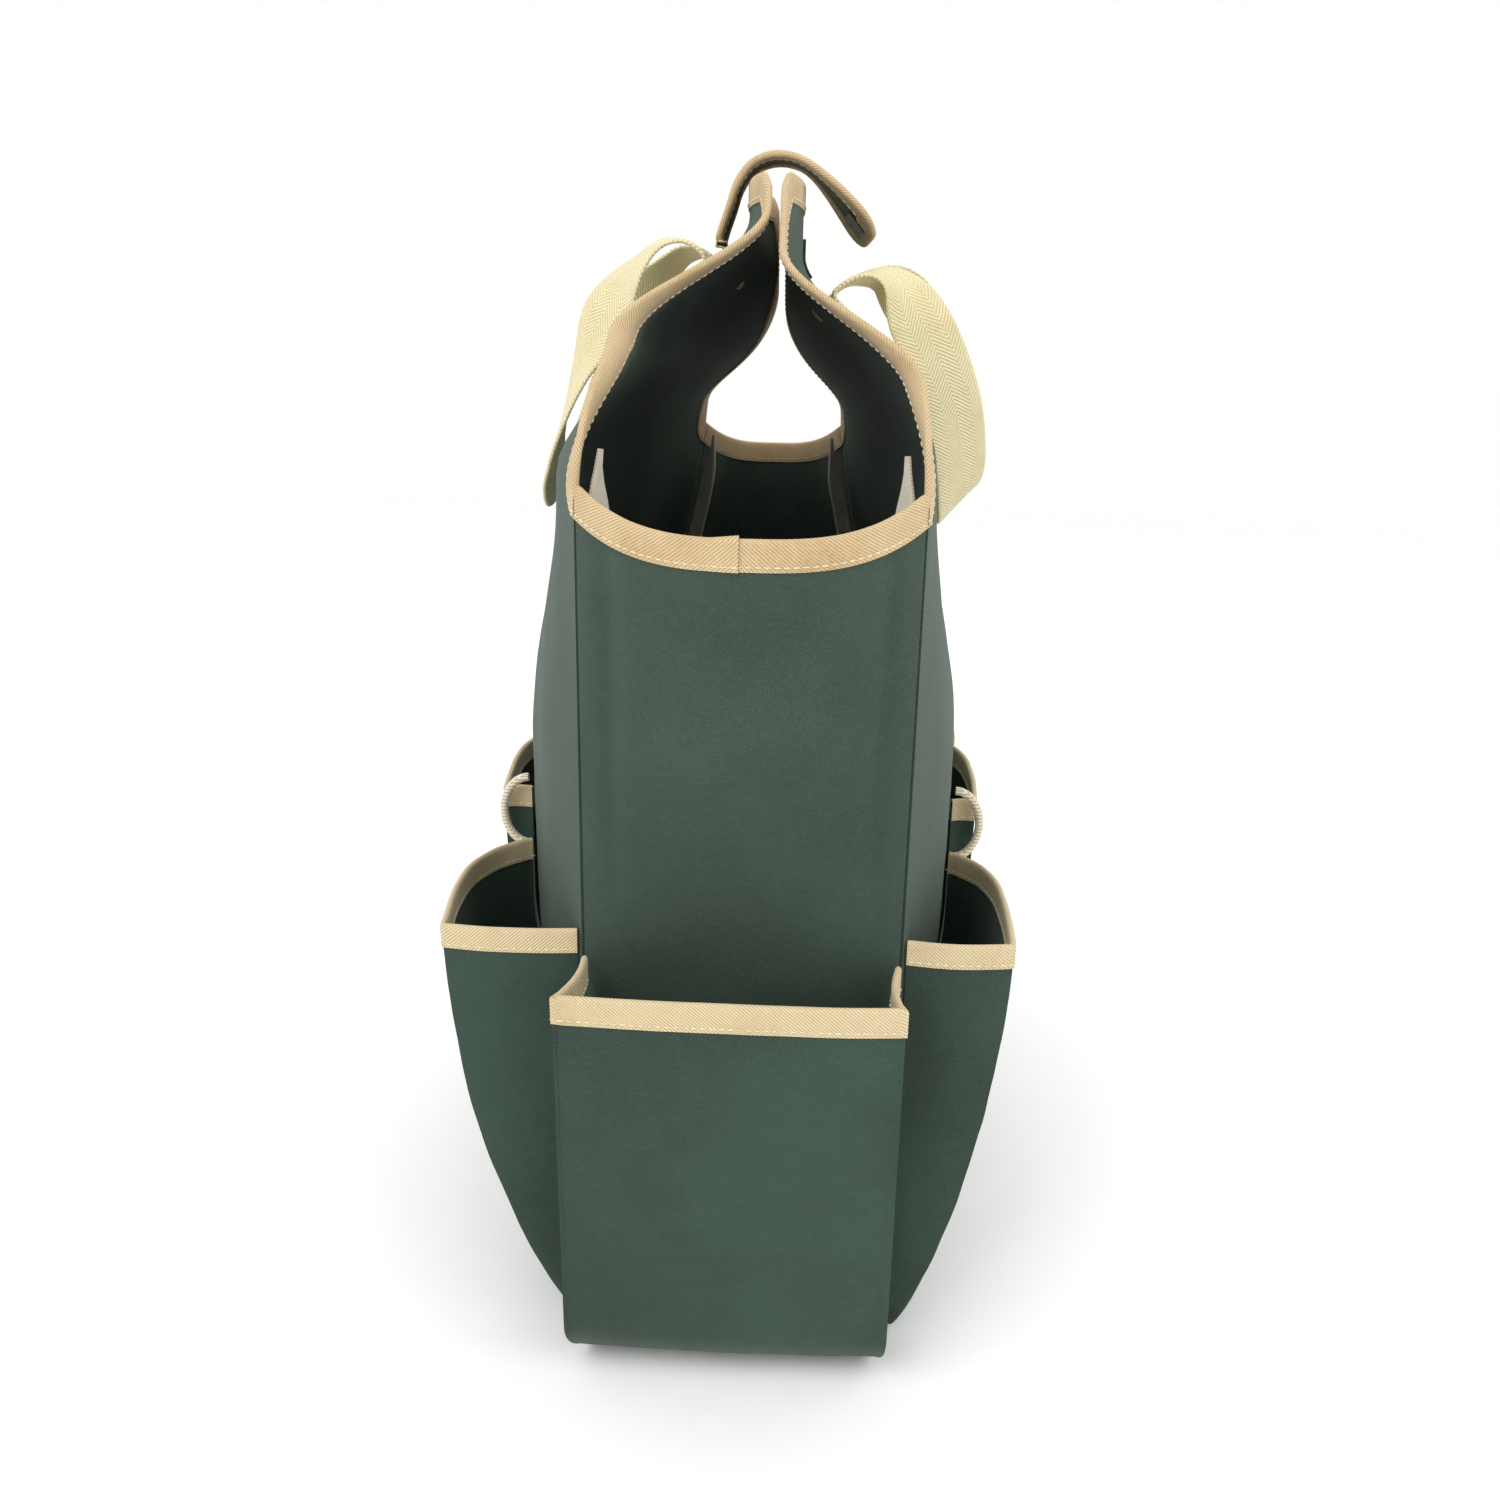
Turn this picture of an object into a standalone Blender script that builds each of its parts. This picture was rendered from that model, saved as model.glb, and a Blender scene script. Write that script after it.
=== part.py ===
"""Garden tool bag: a tall fabric tote with side flaps that close over its top, bound pockets all round,
webbing handles, a closure tab and elastic tool loops.

Metres. +X to the right, +Y along the length with the near end at -Y, +Z up, the ground at Z = 0.
"""

import math

import bmesh
import bpy
import numpy as np

# Body
HALF_WIDTH = 0.0675
HALF_LENGTH = 0.1675
RIM_Z = 0.387
TOP_Z = 0.509
TOP_HALF_LENGTH = 0.072
TOP_SHIFT = 0.0048
TOP_HALF_GAP = 0.0034
TOP_SPREAD = {-1: 0.010, 1: 0.007}
RIM_DIP = 0.015
RIM_POWER = 3.2
END_BOW = {-1: 0.025, 1: 0.036}
LOW_BOW = 0.003
BOW_POWER = 2.6
FAR_PINCH = 0.0155
LOW_PINCH = 0.009
PINCH_FROM = 0.285
BELLY = {-1: 0.049, 1: 0.035}
RIM_BELLY = {-1: 0.032, 1: 0.018}
BELLY_FADE = 0.45
FLAP_TAPER = {-1: 0.009, 1: 0.004}
BELLY_FROM = 0.17
LEAN_START = {-1: 0.455, 1: 0.33}
LEAN_SPAN = {-1: 0.43, 1: 0.42}
FAR_LEAN = {-1: 0.34, 1: 0.25}
EDGE_HOLLOW = 0.006
HOLLOW_REACH = 0.014
FLAP_ROWS = (0.12, 0.22, 0.31, 0.39, 0.46, 0.53, 0.60, 0.67, 0.74, 0.81)

# Cloth, tape and webbing
CLOTH = 0.0016
POCKET_CLOTH = 0.0014
TAPE = 0.0008
TAPE_DEPTH = 0.0125
STRIP = 0.014
GAP = 0.0005
FLAP_TAPE_SLACK = 0.0008
FOLD_GAP = 0.0004
WEBBING = 0.002
WEBBING_WIDTH = 0.028

# Base
BASE_THICKNESS = 0.002
WALL_BOTTOM = 0.0026
BOARD_THICKNESS = 0.003
BOARD_MARGIN = 0.008

# Pockets
END_POCKET_Z = 0.190
END_POCKET_OUT = 0.041
END_POCKET_ROUND = 0.026
END_POCKET_LOW = 0.82
END_POCKET_WIDER = 0.0016
END_POCKET_SHIFT = -0.0032
END_POCKET_DRAW = 0.010
SIDE_POCKET_Z = (0.199, 0.223, 0.223)
SIDE_POCKET_Y = (-0.1665, -0.0540, 0.0560, 0.1665)
SIDE_POCKET_X = {-1: (0.129, 0.1245, 0.1245), 1: (0.115, 0.1105, 0.1105)}
SIDE_POCKET_SWELL = {-1: 0.0045, 1: 0.003}
SIDE_POCKET_CURVE = {-1: 0.70, 1: 0.66}
SIDE_POCKET_END_GAP = (0.0090, 0.0030, 0.0030)
POCKET_BOTTOM = 0.0032
POCKET_INSET = 0.0044

# Corner seam bindings
FIN_WIDTH = 0.012
FIN_THICKNESS = 0.0018
FIN_INSET = 0.0046
FIN_BOTTOM = 0.013
FIN_TOP = {-1: RIM_Z + 0.014, 1: RIM_Z - 0.006}

# Handles
HANDLE_Y = 0.058
TAIL_Z = {-1: (0.436, 0.465), 1: (0.423, 0.452)}
HANDLE_ARCH = {
    -1: ((-0.0255, 0.4740), (-0.0315, 0.4800), (-0.0385, 0.4820)),
    1: ((0.0305, 0.4610), (0.0385, 0.4675), (0.0485, 0.4700)),
}
HANDLE_NEAR = {
    -1: ((-0.0472, 0.4800, 0.058), (-0.0563, 0.4712, 0.058), (-0.0680, 0.4550, 0.056), (-0.0810, 0.4330, 0.051),
         (-0.0930, 0.4050, 0.042), (-0.1005, 0.3850, 0.028), (-0.1035, 0.3735, 0.014)),
    1: ((0.0580, 0.4660, 0.058), (0.0680, 0.4520, 0.057), (0.0790, 0.4325, 0.053), (0.0882, 0.4110, 0.045),
        (0.0942, 0.3885, 0.031), (0.0966, 0.3710, 0.016)),
}
HANDLE_LOW = {-1: (-0.1042, 0.3705, 0.0), 1: (0.0968, 0.3640, 0.0)}
HANDLE_FAR = {
    -1: HANDLE_NEAR[-1],
    1: ((0.0575, 0.4700, 0.058), (0.0700, 0.4615, 0.057), (0.0820, 0.4440, 0.053), (0.0905, 0.4210, 0.045),
        (0.0955, 0.3960, 0.033), (0.0968, 0.3730, 0.017)),
}
HANDLE_FACE = {-1: (0.30, 0.0, 0.95), 1: (0.66, 0.0, 0.75)}
HANDLE_JOIN_GAP = 0.0012

# Closure tab
TAB_HALF_WIDTH = 0.0225
TAB_ROUTE = ((-0.0232, 0.4835), (-0.0182, 0.4995), (-0.0148, 0.5095), (-0.0090, 0.5172), (-0.0008, 0.5211),
             (0.0084, 0.5214), (0.0176, 0.5180), (0.0273, 0.5100), (0.0377, 0.4989), (0.0474, 0.4868))
TAB_TWIST = (-0.12, -0.13)
TAB_TWIST_FROM = 0.014
TAB_ANCHOR_Z = (0.453, 0.479)
HOOK_PATCH = (0.009, 0.0008)
LOOP_PATCH_Z = (0.468, 0.486)
LOOP_PATCH_HALF = 0.012

# Elastic tool loops
LOOP_RADIUS = 0.0021
LOOP_Y = -0.0590
LOOP_SPAN = 0.035
LOOP_LOW_Z = 0.196
LOOP_STAND = 0.0128

# Hinge points: a point on each moving group's axis
HINGES = {
    "left_flap": (-0.0895, 0.0, RIM_Z),
    "right_flap": (0.0750, 0.0, RIM_Z),
    "left_handle": (-0.0391, 0.0, 0.4836),
    "right_handle": (0.0491, 0.0, 0.4716),
    "closure_tab": (-0.0234, 0.0, 0.4826),
}
SHARP_ANGLE = math.radians(50)

# Colours
GREEN = (0.060, 0.090, 0.068)
POCKET_GREEN = (0.052, 0.082, 0.063)
INNER_GREEN = (0.036, 0.052, 0.034)
TAPE_CREAM = (0.68, 0.52, 0.32)
WEBBING_CREAM = (0.66, 0.58, 0.38)
SEAM_CREAM = (0.72, 0.68, 0.58)
CORD_WHITE = (0.78, 0.70, 0.55)
BOARD_GREY = (0.08, 0.08, 0.08)
HOOK_DARK = (0.05, 0.06, 0.05)


def smooth(t):
    """0 below 0, 1 above 1, and a smooth rise between them."""
    t = min(1.0, max(0.0, t))
    return t * t * (3.0 - 2.0 * t)


def material(name, colour, roughness):
    made = bpy.data.materials.new(name)
    made.use_nodes = True
    shader = made.node_tree.nodes["Principled BSDF"]
    shader.inputs["Base Color"].default_value = (*colour, 1.0)
    shader.inputs["Roughness"].default_value = roughness
    shader.inputs["Metallic"].default_value = 0.0
    made.diffuse_color = (*colour, 1.0)
    return made


def add_mesh(name, points, faces, colour, roughness=0.85):
    """One closed body from corners and faces, its faces turned outwards."""
    shape = bpy.data.meshes.new(name)
    build = bmesh.new()
    corners = [build.verts.new(tuple(point)) for point in points]
    for face in faces:
        build.faces.new([corners[index] for index in face])
    bmesh.ops.recalc_face_normals(build, faces=build.faces)
    build.to_mesh(shape)
    build.free()
    shape.shade_smooth()
    shape.set_sharp_from_angle(angle=SHARP_ANGLE)
    made = bpy.data.objects.new(name, shape)
    bpy.context.scene.collection.objects.link(made)
    shape.materials.append(material(name, colour, roughness))
    return made


def unit(vectors):
    return vectors / np.linalg.norm(vectors, axis=-1, keepdims=True)


def grid_normals(grid):
    return unit(np.cross(np.gradient(grid, axis=0), np.gradient(grid, axis=1)))


def shell(name, grid, thickness, colour, roughness=0.85):
    """A sheet of cloth: the grid of middle points thickened to both sides."""
    grid = np.asarray(grid, float)
    rows, columns = grid.shape[:2]
    offset = grid_normals(grid) * thickness / 2
    points = np.concatenate([(grid + offset).reshape(-1, 3), (grid - offset).reshape(-1, 3)])
    count = rows * columns
    faces = []
    for i in range(rows - 1):
        for j in range(columns - 1):
            a = i * columns + j
            quad = (a, a + 1, a + columns + 1, a + columns)
            faces.append(quad)
            faces.append(tuple(index + count for index in reversed(quad)))
    border = [j for j in range(columns)]
    border += [i * columns + columns - 1 for i in range(1, rows)]
    border += [(rows - 1) * columns + j for j in range(columns - 2, -1, -1)]
    border += [i * columns for i in range(rows - 2, 0, -1)]
    for a, b in zip(border, border[1:] + border[:1]):
        faces.append((a, b, b + count, a + count))
    return add_mesh(name, points, faces, colour, roughness)


def sweep(name, sections, caps, colour, roughness=0.85):
    """Rings of matching points joined into a tube. caps lists the end faces as indices into a ring."""
    sections = np.asarray(sections, float)
    stations, ring = sections.shape[:2]
    faces = []
    for i in range(stations - 1):
        for j in range(ring):
            k = (j + 1) % ring
            faces.append((i * ring + j, i * ring + k, (i + 1) * ring + k, (i + 1) * ring + j))
    last = (stations - 1) * ring
    for cap in caps:
        faces.append(tuple(cap))
        faces.append(tuple(last + index for index in reversed(cap)))
    return add_mesh(name, sections.reshape(-1, 3), faces, colour, roughness)


def trimmed(chain, amount):
    """The chain of stations with both ends drawn in by amount."""
    chain = np.array(chain, float)
    for end, step in ((0, 1), (-1, -1)):
        neighbour = end + step
        length = np.linalg.norm(chain[neighbour, 0] - chain[end, 0])
        chain[end] += (chain[neighbour] - chain[end]) * min(0.9, amount / length)
    return chain


def binding(name, chain, cloth, trim=0.0, colour=TAPE_CREAM):
    """Tape folded over an edge. Each station holds the edge point, the point one strip further in,
    and the sheet's normals at both."""
    chain = trimmed(chain, trim) if trim else np.asarray(chain, float)
    edge, inner = chain[:, 0], chain[:, 1]
    edge_normal, inner_normal = unit(chain[:, 2]), unit(chain[:, 3])
    out = (edge - inner) / STRIP
    leg = edge + (inner - edge) * (TAPE_DEPTH / STRIP)
    near = cloth / 2 + GAP
    far = near + TAPE
    ring = [
        leg + inner_normal * far,
        edge + out * (GAP + TAPE) + edge_normal * far,
        edge + out * (GAP + TAPE) - edge_normal * far,
        leg - inner_normal * far,
        leg - inner_normal * near,
        edge + out * GAP - edge_normal * near,
        edge + out * GAP + edge_normal * near,
        leg + inner_normal * near,
    ]
    caps = ((0, 1, 6, 7), (1, 2, 5, 6), (2, 3, 4, 5))
    return sweep(name, np.stack(ring, axis=1), caps, colour)


def ribbon(name, centres, across, width, thickness, colour, normals=None):
    """A flat strap along the centres, with the given directions across its width."""
    centres = np.asarray(centres, float)
    along = unit(np.gradient(centres, axis=0))
    across = np.asarray(across, float)
    across = unit(across - along * np.sum(across * along, axis=1, keepdims=True))
    normal = unit(np.cross(along, across)) if normals is None else unit(np.asarray(normals, float))
    side, face = across * width / 2, normal * thickness / 2
    ring = [centres - side - face, centres + side - face, centres + side + face, centres - side + face]
    return sweep(name, np.stack(ring, axis=1), ((0, 1, 2, 3),), colour)


def pinch(y, z):
    drawn = LOW_PINCH * smooth(z / BELLY_FROM) + FAR_PINCH * smooth((z - PINCH_FROM) / (RIM_Z - PINCH_FROM))
    return drawn * smooth((y + HALF_LENGTH) / (2 * HALF_LENGTH))


def half_width(y, z):
    return HALF_WIDTH - pinch(y, z)


def side_x(side, y, z):
    """Distance across from the middle plane to a long side's cloth at or below the rim, with its sign."""
    across = 1.0 - min(1.0, abs(y) / HALF_LENGTH) ** 2
    upper = smooth((z - 0.25) / (RIM_Z - 0.25))
    belly = smooth(z / BELLY_FROM) * (BELLY[side] * (1 - upper) + RIM_BELLY[side] * upper)
    return side * (half_width(y, z) + belly * across)


def flap_t(z):
    return (z - RIM_Z) / (TOP_Z - RIM_Z)


def flap_half_length(z):
    return HALF_LENGTH - (HALF_LENGTH - TOP_HALF_LENGTH) * smooth((flap_t(z) - 0.07) / 0.97)


def flap_x(side, y, z):
    """The flap's cloth: upright near the rim, leaning over in the middle, upright again at the top."""
    early = FAR_LEAN[side] * smooth(y / HALF_LENGTH)
    lean = smooth((flap_t(z) - LEAN_START[side] + early) / LEAN_SPAN[side])
    closing = smooth(flap_t(z) / BELLY_FADE)
    across = 1.0 - min(1.0, abs(y) / HALF_LENGTH) ** 2
    depth = max(0.0, flap_half_length(z) - abs(y)) / HOLLOW_REACH
    hollow = EDGE_HOLLOW * depth * math.exp(1.0 - depth)
    drawn = closing * (RIM_BELLY[side] * across + FLAP_TAPER[side] + hollow)
    upright = side_x(side, y, RIM_Z) - side * drawn
    spread = TOP_SPREAD[side] * max(0.0, 1.0 - (y / TOP_HALF_LENGTH) ** 2)
    top = side * (TOP_HALF_GAP + spread) + TOP_SHIFT
    return upright * (1 - lean) + top * lean


def flap_point(side, y, z):
    return np.array((flap_x(side, y, z), y, z))


def flap_normal(side, y, z):
    """Away from the bag's middle."""
    step = 0.0005
    along = flap_point(side, y + step, z) - flap_point(side, y - step, z)
    up = flap_point(side, y, z + step) - flap_point(side, y, z - step)
    return unit(np.cross(along, up)) * side


def end_bow(end, z):
    high = smooth((z - 0.15) / (RIM_Z - 0.15))
    return LOW_BOW * smooth(z / 0.1) + END_BOW[end] * high


def end_point(end, share, z):
    """A point on an end panel. share runs from -1 at its left edge to 1 at its right."""
    width = half_width(end * HALF_LENGTH, z) - 0.0018
    return np.array((share * width, end * (HALF_LENGTH + end_bow(end, z) * (1 - abs(share) ** BOW_POWER)), z))


def side_name(side):
    return "left" if side < 0 else "right"


def end_name(end):
    return "near" if end < 0 else "far"


def curve_through(points, steps):
    """Catmull-Rom curve through the points, with the given number of steps in each span."""
    points = [np.asarray(point, float) for point in points]
    points = [2 * points[0] - points[1], *points, 2 * points[-1] - points[-2]]
    curve = []
    for before, start, end, after in zip(points, points[1:], points[2:], points[3:]):
        for step in range(steps):
            t = step / steps
            curve.append(0.5 * (2 * start + (end - before) * t + (2 * before - 5 * start + 4 * end - after) * t**2
                                + (3 * start - before - 3 * end + after) * t**3))
    return curve + [points[-2]]


def edge_chain(grid, edge_row, inner_row):
    """Binding stations along one border row of a grid."""
    normals = grid_normals(grid)
    return [
        (grid[edge_row, j], grid[inner_row, j], normals[edge_row, j], normals[inner_row, j])
        for j in range(grid.shape[1])
    ]


def three_sided_chain(grid):
    """Binding stations up the first column of a grid, along its last row and down its last column."""
    normals = grid_normals(grid)

    def station(edge, inner):
        return grid[edge], grid[inner], normals[edge], normals[inner]

    rows = range(len(grid) - 1)
    near = [station((i, 0), (i, 1)) for i in rows]
    far = [station((i, -1), (i, -2)) for i in rows]
    top = [station((-1, j), (-2, j)) for j in range(1, grid.shape[1] - 1)]
    corners = station((-1, 0), (-2, 1)), station((-1, -1), (-2, -2))
    return near + [corners[0]] + top + [corners[1]] + far[::-1]


def make_base():
    half_x, half_y = HALF_WIDTH + 0.001, HALF_LENGTH + 0.001
    grid = [
        [(x, y, BASE_THICKNESS / 2) for x in np.linspace(-half_x, half_x, 3)]
        for y in np.linspace(-half_y, half_y, 3)
    ]
    shell("base_panel", grid, BASE_THICKNESS, GREEN)
    half_x, half_y = HALF_WIDTH - BOARD_MARGIN, HALF_LENGTH - BOARD_MARGIN
    height = BASE_THICKNESS + FOLD_GAP + BOARD_THICKNESS / 2
    grid = [
        [(x, y, height) for x in np.linspace(-half_x, half_x, 3)] for y in np.linspace(-half_y, half_y, 3)
    ]
    shell("base_board", grid, BOARD_THICKNESS, BOARD_GREY, 0.6)


def make_end(end):
    shares = np.linspace(-1, 1, 9)
    heights = [WALL_BOTTOM, 0.06, 0.13, 0.20, 0.27, 0.295, 0.32, 0.345]
    rows = [[end_point(end, share, z) for share in shares] for z in heights]
    for drop in (STRIP, 0.0):
        rows.append([end_point(end, share, RIM_Z - drop - RIM_DIP * (1 - abs(share) ** RIM_POWER)) for share in shares])
    grid = np.array(rows)
    shell(f"{end_name(end)}_end_panel", grid, CLOTH, GREEN)
    binding(f"{end_name(end)}_rim_binding", edge_chain(grid, -1, -2), CLOTH, trim=0.0035)


def make_side_panel(side):
    heights = [WALL_BOTTOM, 0.03, 0.07, 0.12, 0.17, 0.22, 0.27, 0.295, 0.32, 0.345, RIM_Z - STRIP, RIM_Z - FOLD_GAP]
    lengths = np.linspace(-HALF_LENGTH, HALF_LENGTH, 11)
    grid = [[(side_x(side, y, z), y, z) for y in lengths] for z in heights]
    shell(f"{side_name(side)}_side_panel", grid, CLOTH, GREEN)


def flap_inner(side, z):
    """The point one strip in from the flap's near sloping edge, in the cloth."""
    step = 0.0005
    low, high = max(RIM_Z, z - step), min(TOP_Z, z + step)
    along = flap_point(side, -flap_half_length(high), high) - flap_point(side, -flap_half_length(low), low)
    inward = np.cross(flap_normal(side, -flap_half_length(z), z) * side, unit(along))
    inward = inward if inward[1] > 0 else -inward
    start = flap_point(side, -flap_half_length(z), z)
    return start + unit(inward) * STRIP


def flap_grid(side):
    """Rows up the flap. The outer two columns on either side are the edge and one strip in."""
    heights = [RIM_Z + FOLD_GAP, *(RIM_Z + share * (TOP_Z - RIM_Z) for share in FLAP_ROWS), TOP_Z - STRIP, TOP_Z]
    rows = []
    for z in heights:
        reach = flap_half_length(z)
        inner = flap_inner(side, z)
        level = z if z in (heights[0], heights[-1], heights[-2]) else inner[2]
        inner_y = inner[1] if z < heights[-1] else -reach + STRIP
        between = [flap_point(side, y, level) for y in np.linspace(inner_y, -inner_y, 9)]
        edges = [flap_point(side, -reach, z), flap_point(side, reach, z)]
        rows.append([edges[0], *between, edges[1]])
    return np.array(rows)


def make_flap(side):
    grid = flap_grid(side)
    shell(f"{side_name(side)}_flap", grid, CLOTH, GREEN)
    binding(f"{side_name(side)}_flap_binding", three_sided_chain(grid), CLOTH + FLAP_TAPE_SLACK)


def pocket_reach(z, rim, curve):
    """How far a pocket stands out at this height, as a share of its rim."""
    return math.sin(0.5 * math.pi * min(1.0, z / rim)) ** curve


def end_pocket_row(end, z, folded):
    """Left gusset, front and right gusset at this height. The folded row is the bottom's inner border."""
    full = 0.0 if folded else math.sqrt(1 - (1 - min(1.0, z / END_POCKET_ROUND)) ** 2)
    reach = full * (END_POCKET_LOW + (1 - END_POCKET_LOW) * z / END_POCKET_Z)
    root_y = HALF_LENGTH + LOW_BOW + POCKET_INSET
    front_y = HALF_LENGTH + max(0.0030, END_POCKET_OUT * reach)
    width = half_width(end * HALF_LENGTH, z)
    root_x = width - 0.001 - 0.5 * END_POCKET_DRAW * (1 - full)
    front_x = width + END_POCKET_WIDER - END_POCKET_DRAW * (1 - full)
    root_y = min(root_y, front_y - 0.0015)
    shift = END_POCKET_SHIFT * reach
    left = [(-root_x, root_y), (0.5 * (shift - root_x - front_x), 0.5 * (root_y + front_y))]
    front = [(shift + share * front_x, front_y) for share in (-1, -0.9, -0.5, 0, 0.5, 0.9, 1)]
    right = [(0.5 * (shift + root_x + front_x), 0.5 * (root_y + front_y)), (root_x, root_y)]
    return [(x, end * y, z) for x, y in left + front + right]


def make_end_pocket(end):
    heights = [POCKET_BOTTOM, POCKET_BOTTOM, 0.007, 0.014, 0.026, 0.075, 0.125, END_POCKET_Z - STRIP, END_POCKET_Z]
    grid = np.array([end_pocket_row(end, z, index == 0) for index, z in enumerate(heights)])
    shell(f"{end_name(end)}_end_pocket", grid, POCKET_CLOTH, POCKET_GREEN)
    binding(f"{end_name(end)}_end_pocket_binding", edge_chain(grid, -1, -2), POCKET_CLOTH + 0.0003, trim=0.001)


def side_pocket_row(side, place, z, folded):
    """Near gusset, front and far return of one side pocket. The folded row is the bottom's inner border."""
    near, far = SIDE_POCKET_Y[place] + 0.0012, SIDE_POCKET_Y[place + 1] - SIDE_POCKET_END_GAP[place]
    last = place == 2
    reach = pocket_reach(z, SIDE_POCKET_Z[place], SIDE_POCKET_CURVE[side])
    span = far - near

    def at(share, out):
        y = near + span * share
        root = abs(side_x(side, y, z)) + POCKET_INSET
        swell = SIDE_POCKET_SWELL[side] * math.sin(math.pi * share)
        front = SIDE_POCKET_X[side][place] + swell - (0.012 * smooth(share) if last else 0.0)
        if folded:
            return side * (root + 0.001 * out - 0.0022), y + 0.002 * (1 - 2 * share), z
        return side * (root + max(0.0035, (front - root) * reach) * out), y, z

    shares = ((0, 0), (0, 0.5), (0, 1), (0.22, 1), (0.45, 1), (0.68, 0.97))
    row = [at(share, out) for share, out in shares]
    row += [at(1, 0.95), at(1, 0.5), at(1, 0)] if last else [at(0.86, 0.74), at(0.97, 0.28), at(1, 0.05)]
    return row


def make_side_pocket(side, place):
    rim = SIDE_POCKET_Z[place]
    heights = [POCKET_BOTTOM, POCKET_BOTTOM, 0.012, 0.032, 0.075, 0.125, rim - STRIP, rim]
    grid = np.array([side_pocket_row(side, place, z, index == 0) for index, z in enumerate(heights)])
    name = f"{side_name(side)}_pocket_{place + 1}"
    shell(name, grid, POCKET_CLOTH, POCKET_GREEN)
    binding(f"{name}_binding", edge_chain(grid, -1, -2), POCKET_CLOTH, trim=0.0012)


def make_corner_binding(side, end):
    """The bound seam allowance standing in from a corner seam, inside the bag."""
    centres, across = [], []
    inward = np.array((-side, -end, 0.0)) / math.sqrt(2)
    for z in np.linspace(FIN_BOTTOM, FIN_TOP[end], 7):
        width = half_width(end * HALF_LENGTH, min(z, RIM_Z))
        corner = np.array((side * (width - FIN_INSET), end * (HALF_LENGTH - FIN_INSET), z))
        centres.append(corner + inward * FIN_WIDTH / 2)
        across.append(inward)
    name = f"{side_name(side)}_{end_name(end)}_corner_binding"
    ribbon(name, centres, across, FIN_WIDTH, FIN_THICKNESS, SEAM_CREAM)


def make_handle_tail(side, end):
    """The sewn end of a handle: flat on the flap, then rising away from it over the arch."""
    y = end * HANDLE_Y
    lift = CLOTH / 2 + GAP + WEBBING / 2 + 0.0006
    sewn, across = [], []
    for z in np.linspace(*TAIL_Z[side], 5):
        sewn.append(flap_point(side, y, z) + flap_normal(side, y, z) * lift)
        across.append(unit(flap_point(side, y + 0.001, z) - flap_point(side, y - 0.001, z)))
    route = curve_through([sewn[-1]] + [(x, y, z) for x, z in HANDLE_ARCH[side]], 2)[1:]
    centres = np.array(sewn + route)
    across += [(0.0, 1.0, 0.0)] * len(route)
    name = f"{side_name(side)}_handle_{end_name(end)}_tail"
    ribbon(name, centres, across, WEBBING_WIDTH, WEBBING, WEBBING_CREAM)


def make_handle(side):
    """The free loop of webbing: down from both arches, turning its face as it goes."""
    arch_x, arch_z = HANDLE_ARCH[side][-1]
    tops = [(arch_x + side * HANDLE_JOIN_GAP, end * HANDLE_Y, arch_z) for end in (-1, 1)]
    near = [(x, -y, z) for x, z, y in HANDLE_NEAR[side]]
    far = [(x, y, z) for x, z, y in HANDLE_FAR[side]]
    low_x, low_z, low_y = HANDLE_LOW[side]
    route = curve_through([tops[0], *near, (low_x, low_y, low_z), *far[::-1], tops[1]], 2)
    last = len(route) - 1
    face = np.array(HANDLE_FACE[side])
    across = []
    for index in range(last + 1):
        steps = min(index, last - index)
        turn = smooth((steps - 2.0) / 6.0)
        sense = 1.0 if index <= last / 2 else -1.0
        across.append(np.array((0.0, sense, 0.0)) * (1 - turn) + face * turn)
    ribbon(f"{side_name(side)}_handle", route, across, WEBBING_WIDTH, WEBBING, WEBBING_CREAM)


def tab_grid():
    half = TAB_HALF_WIDTH
    places = (-half, -half + STRIP, 0.0, half - STRIP, half)
    route = [np.array((x, 0.0, z)) for x, z in TAB_ROUTE]
    tip = unit(route[-1] - route[-2])
    route[-1] = route[-1] + tip * 0.002
    route.insert(-1, route[-1] - tip * STRIP)
    del route[-3]
    rows = []
    for point in route:
        turn = smooth((point[0] - TAB_TWIST_FROM) / (route[-1][0] - TAB_TWIST_FROM))
        rows.append([point + y * np.array((TAB_TWIST[0] * turn, 1.0, TAB_TWIST[1] * turn)) for y in places])
    return np.array(rows)


def make_tab():
    grid = tab_grid()
    shell("closure_tab", grid, CLOTH, GREEN)
    binding("closure_tab_binding", three_sided_chain(grid), CLOTH)


def make_tab_patches():
    """The sewn root of the tab, and the two halves of its hook and loop fastener."""
    lift = CLOTH / 2 + 2 * GAP + CLOTH / 2
    root = []
    for z in np.linspace(*TAB_ANCHOR_Z, 4):
        root.append(
            [flap_point(-1, y, z) + flap_normal(-1, y, z) * lift for y in np.linspace(-0.02, 0.02, 4)]
        )
    shell("closure_tab_root", root, CLOTH, GREEN)
    half, thickness = HOOK_PATCH
    grid = tab_grid()
    normals = grid_normals(grid)
    centres = grid[-3:-1, 2]
    down = -normals[-3:-1, 2] * np.sign(normals[-3:-1, 2, 2:3])
    lift = CLOTH / 2 + GAP + thickness / 2
    across = grid[-3:-1, -1] - grid[-3:-1, 0]
    ribbon("closure_hook_patch", centres + down * lift, across, 2 * half - 0.003, thickness, HOOK_DARK)
    lift = CLOTH / 2 + 2 * GAP + thickness / 2
    patch = []
    for z in np.linspace(*LOOP_PATCH_Z, 3):
        patch.append([flap_point(1, y, z) + flap_normal(1, y, z) * lift
                      for y in np.linspace(-LOOP_PATCH_HALF, LOOP_PATCH_HALF, 3)])
    shell("closure_loop_patch", patch, thickness, HOOK_DARK)


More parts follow.
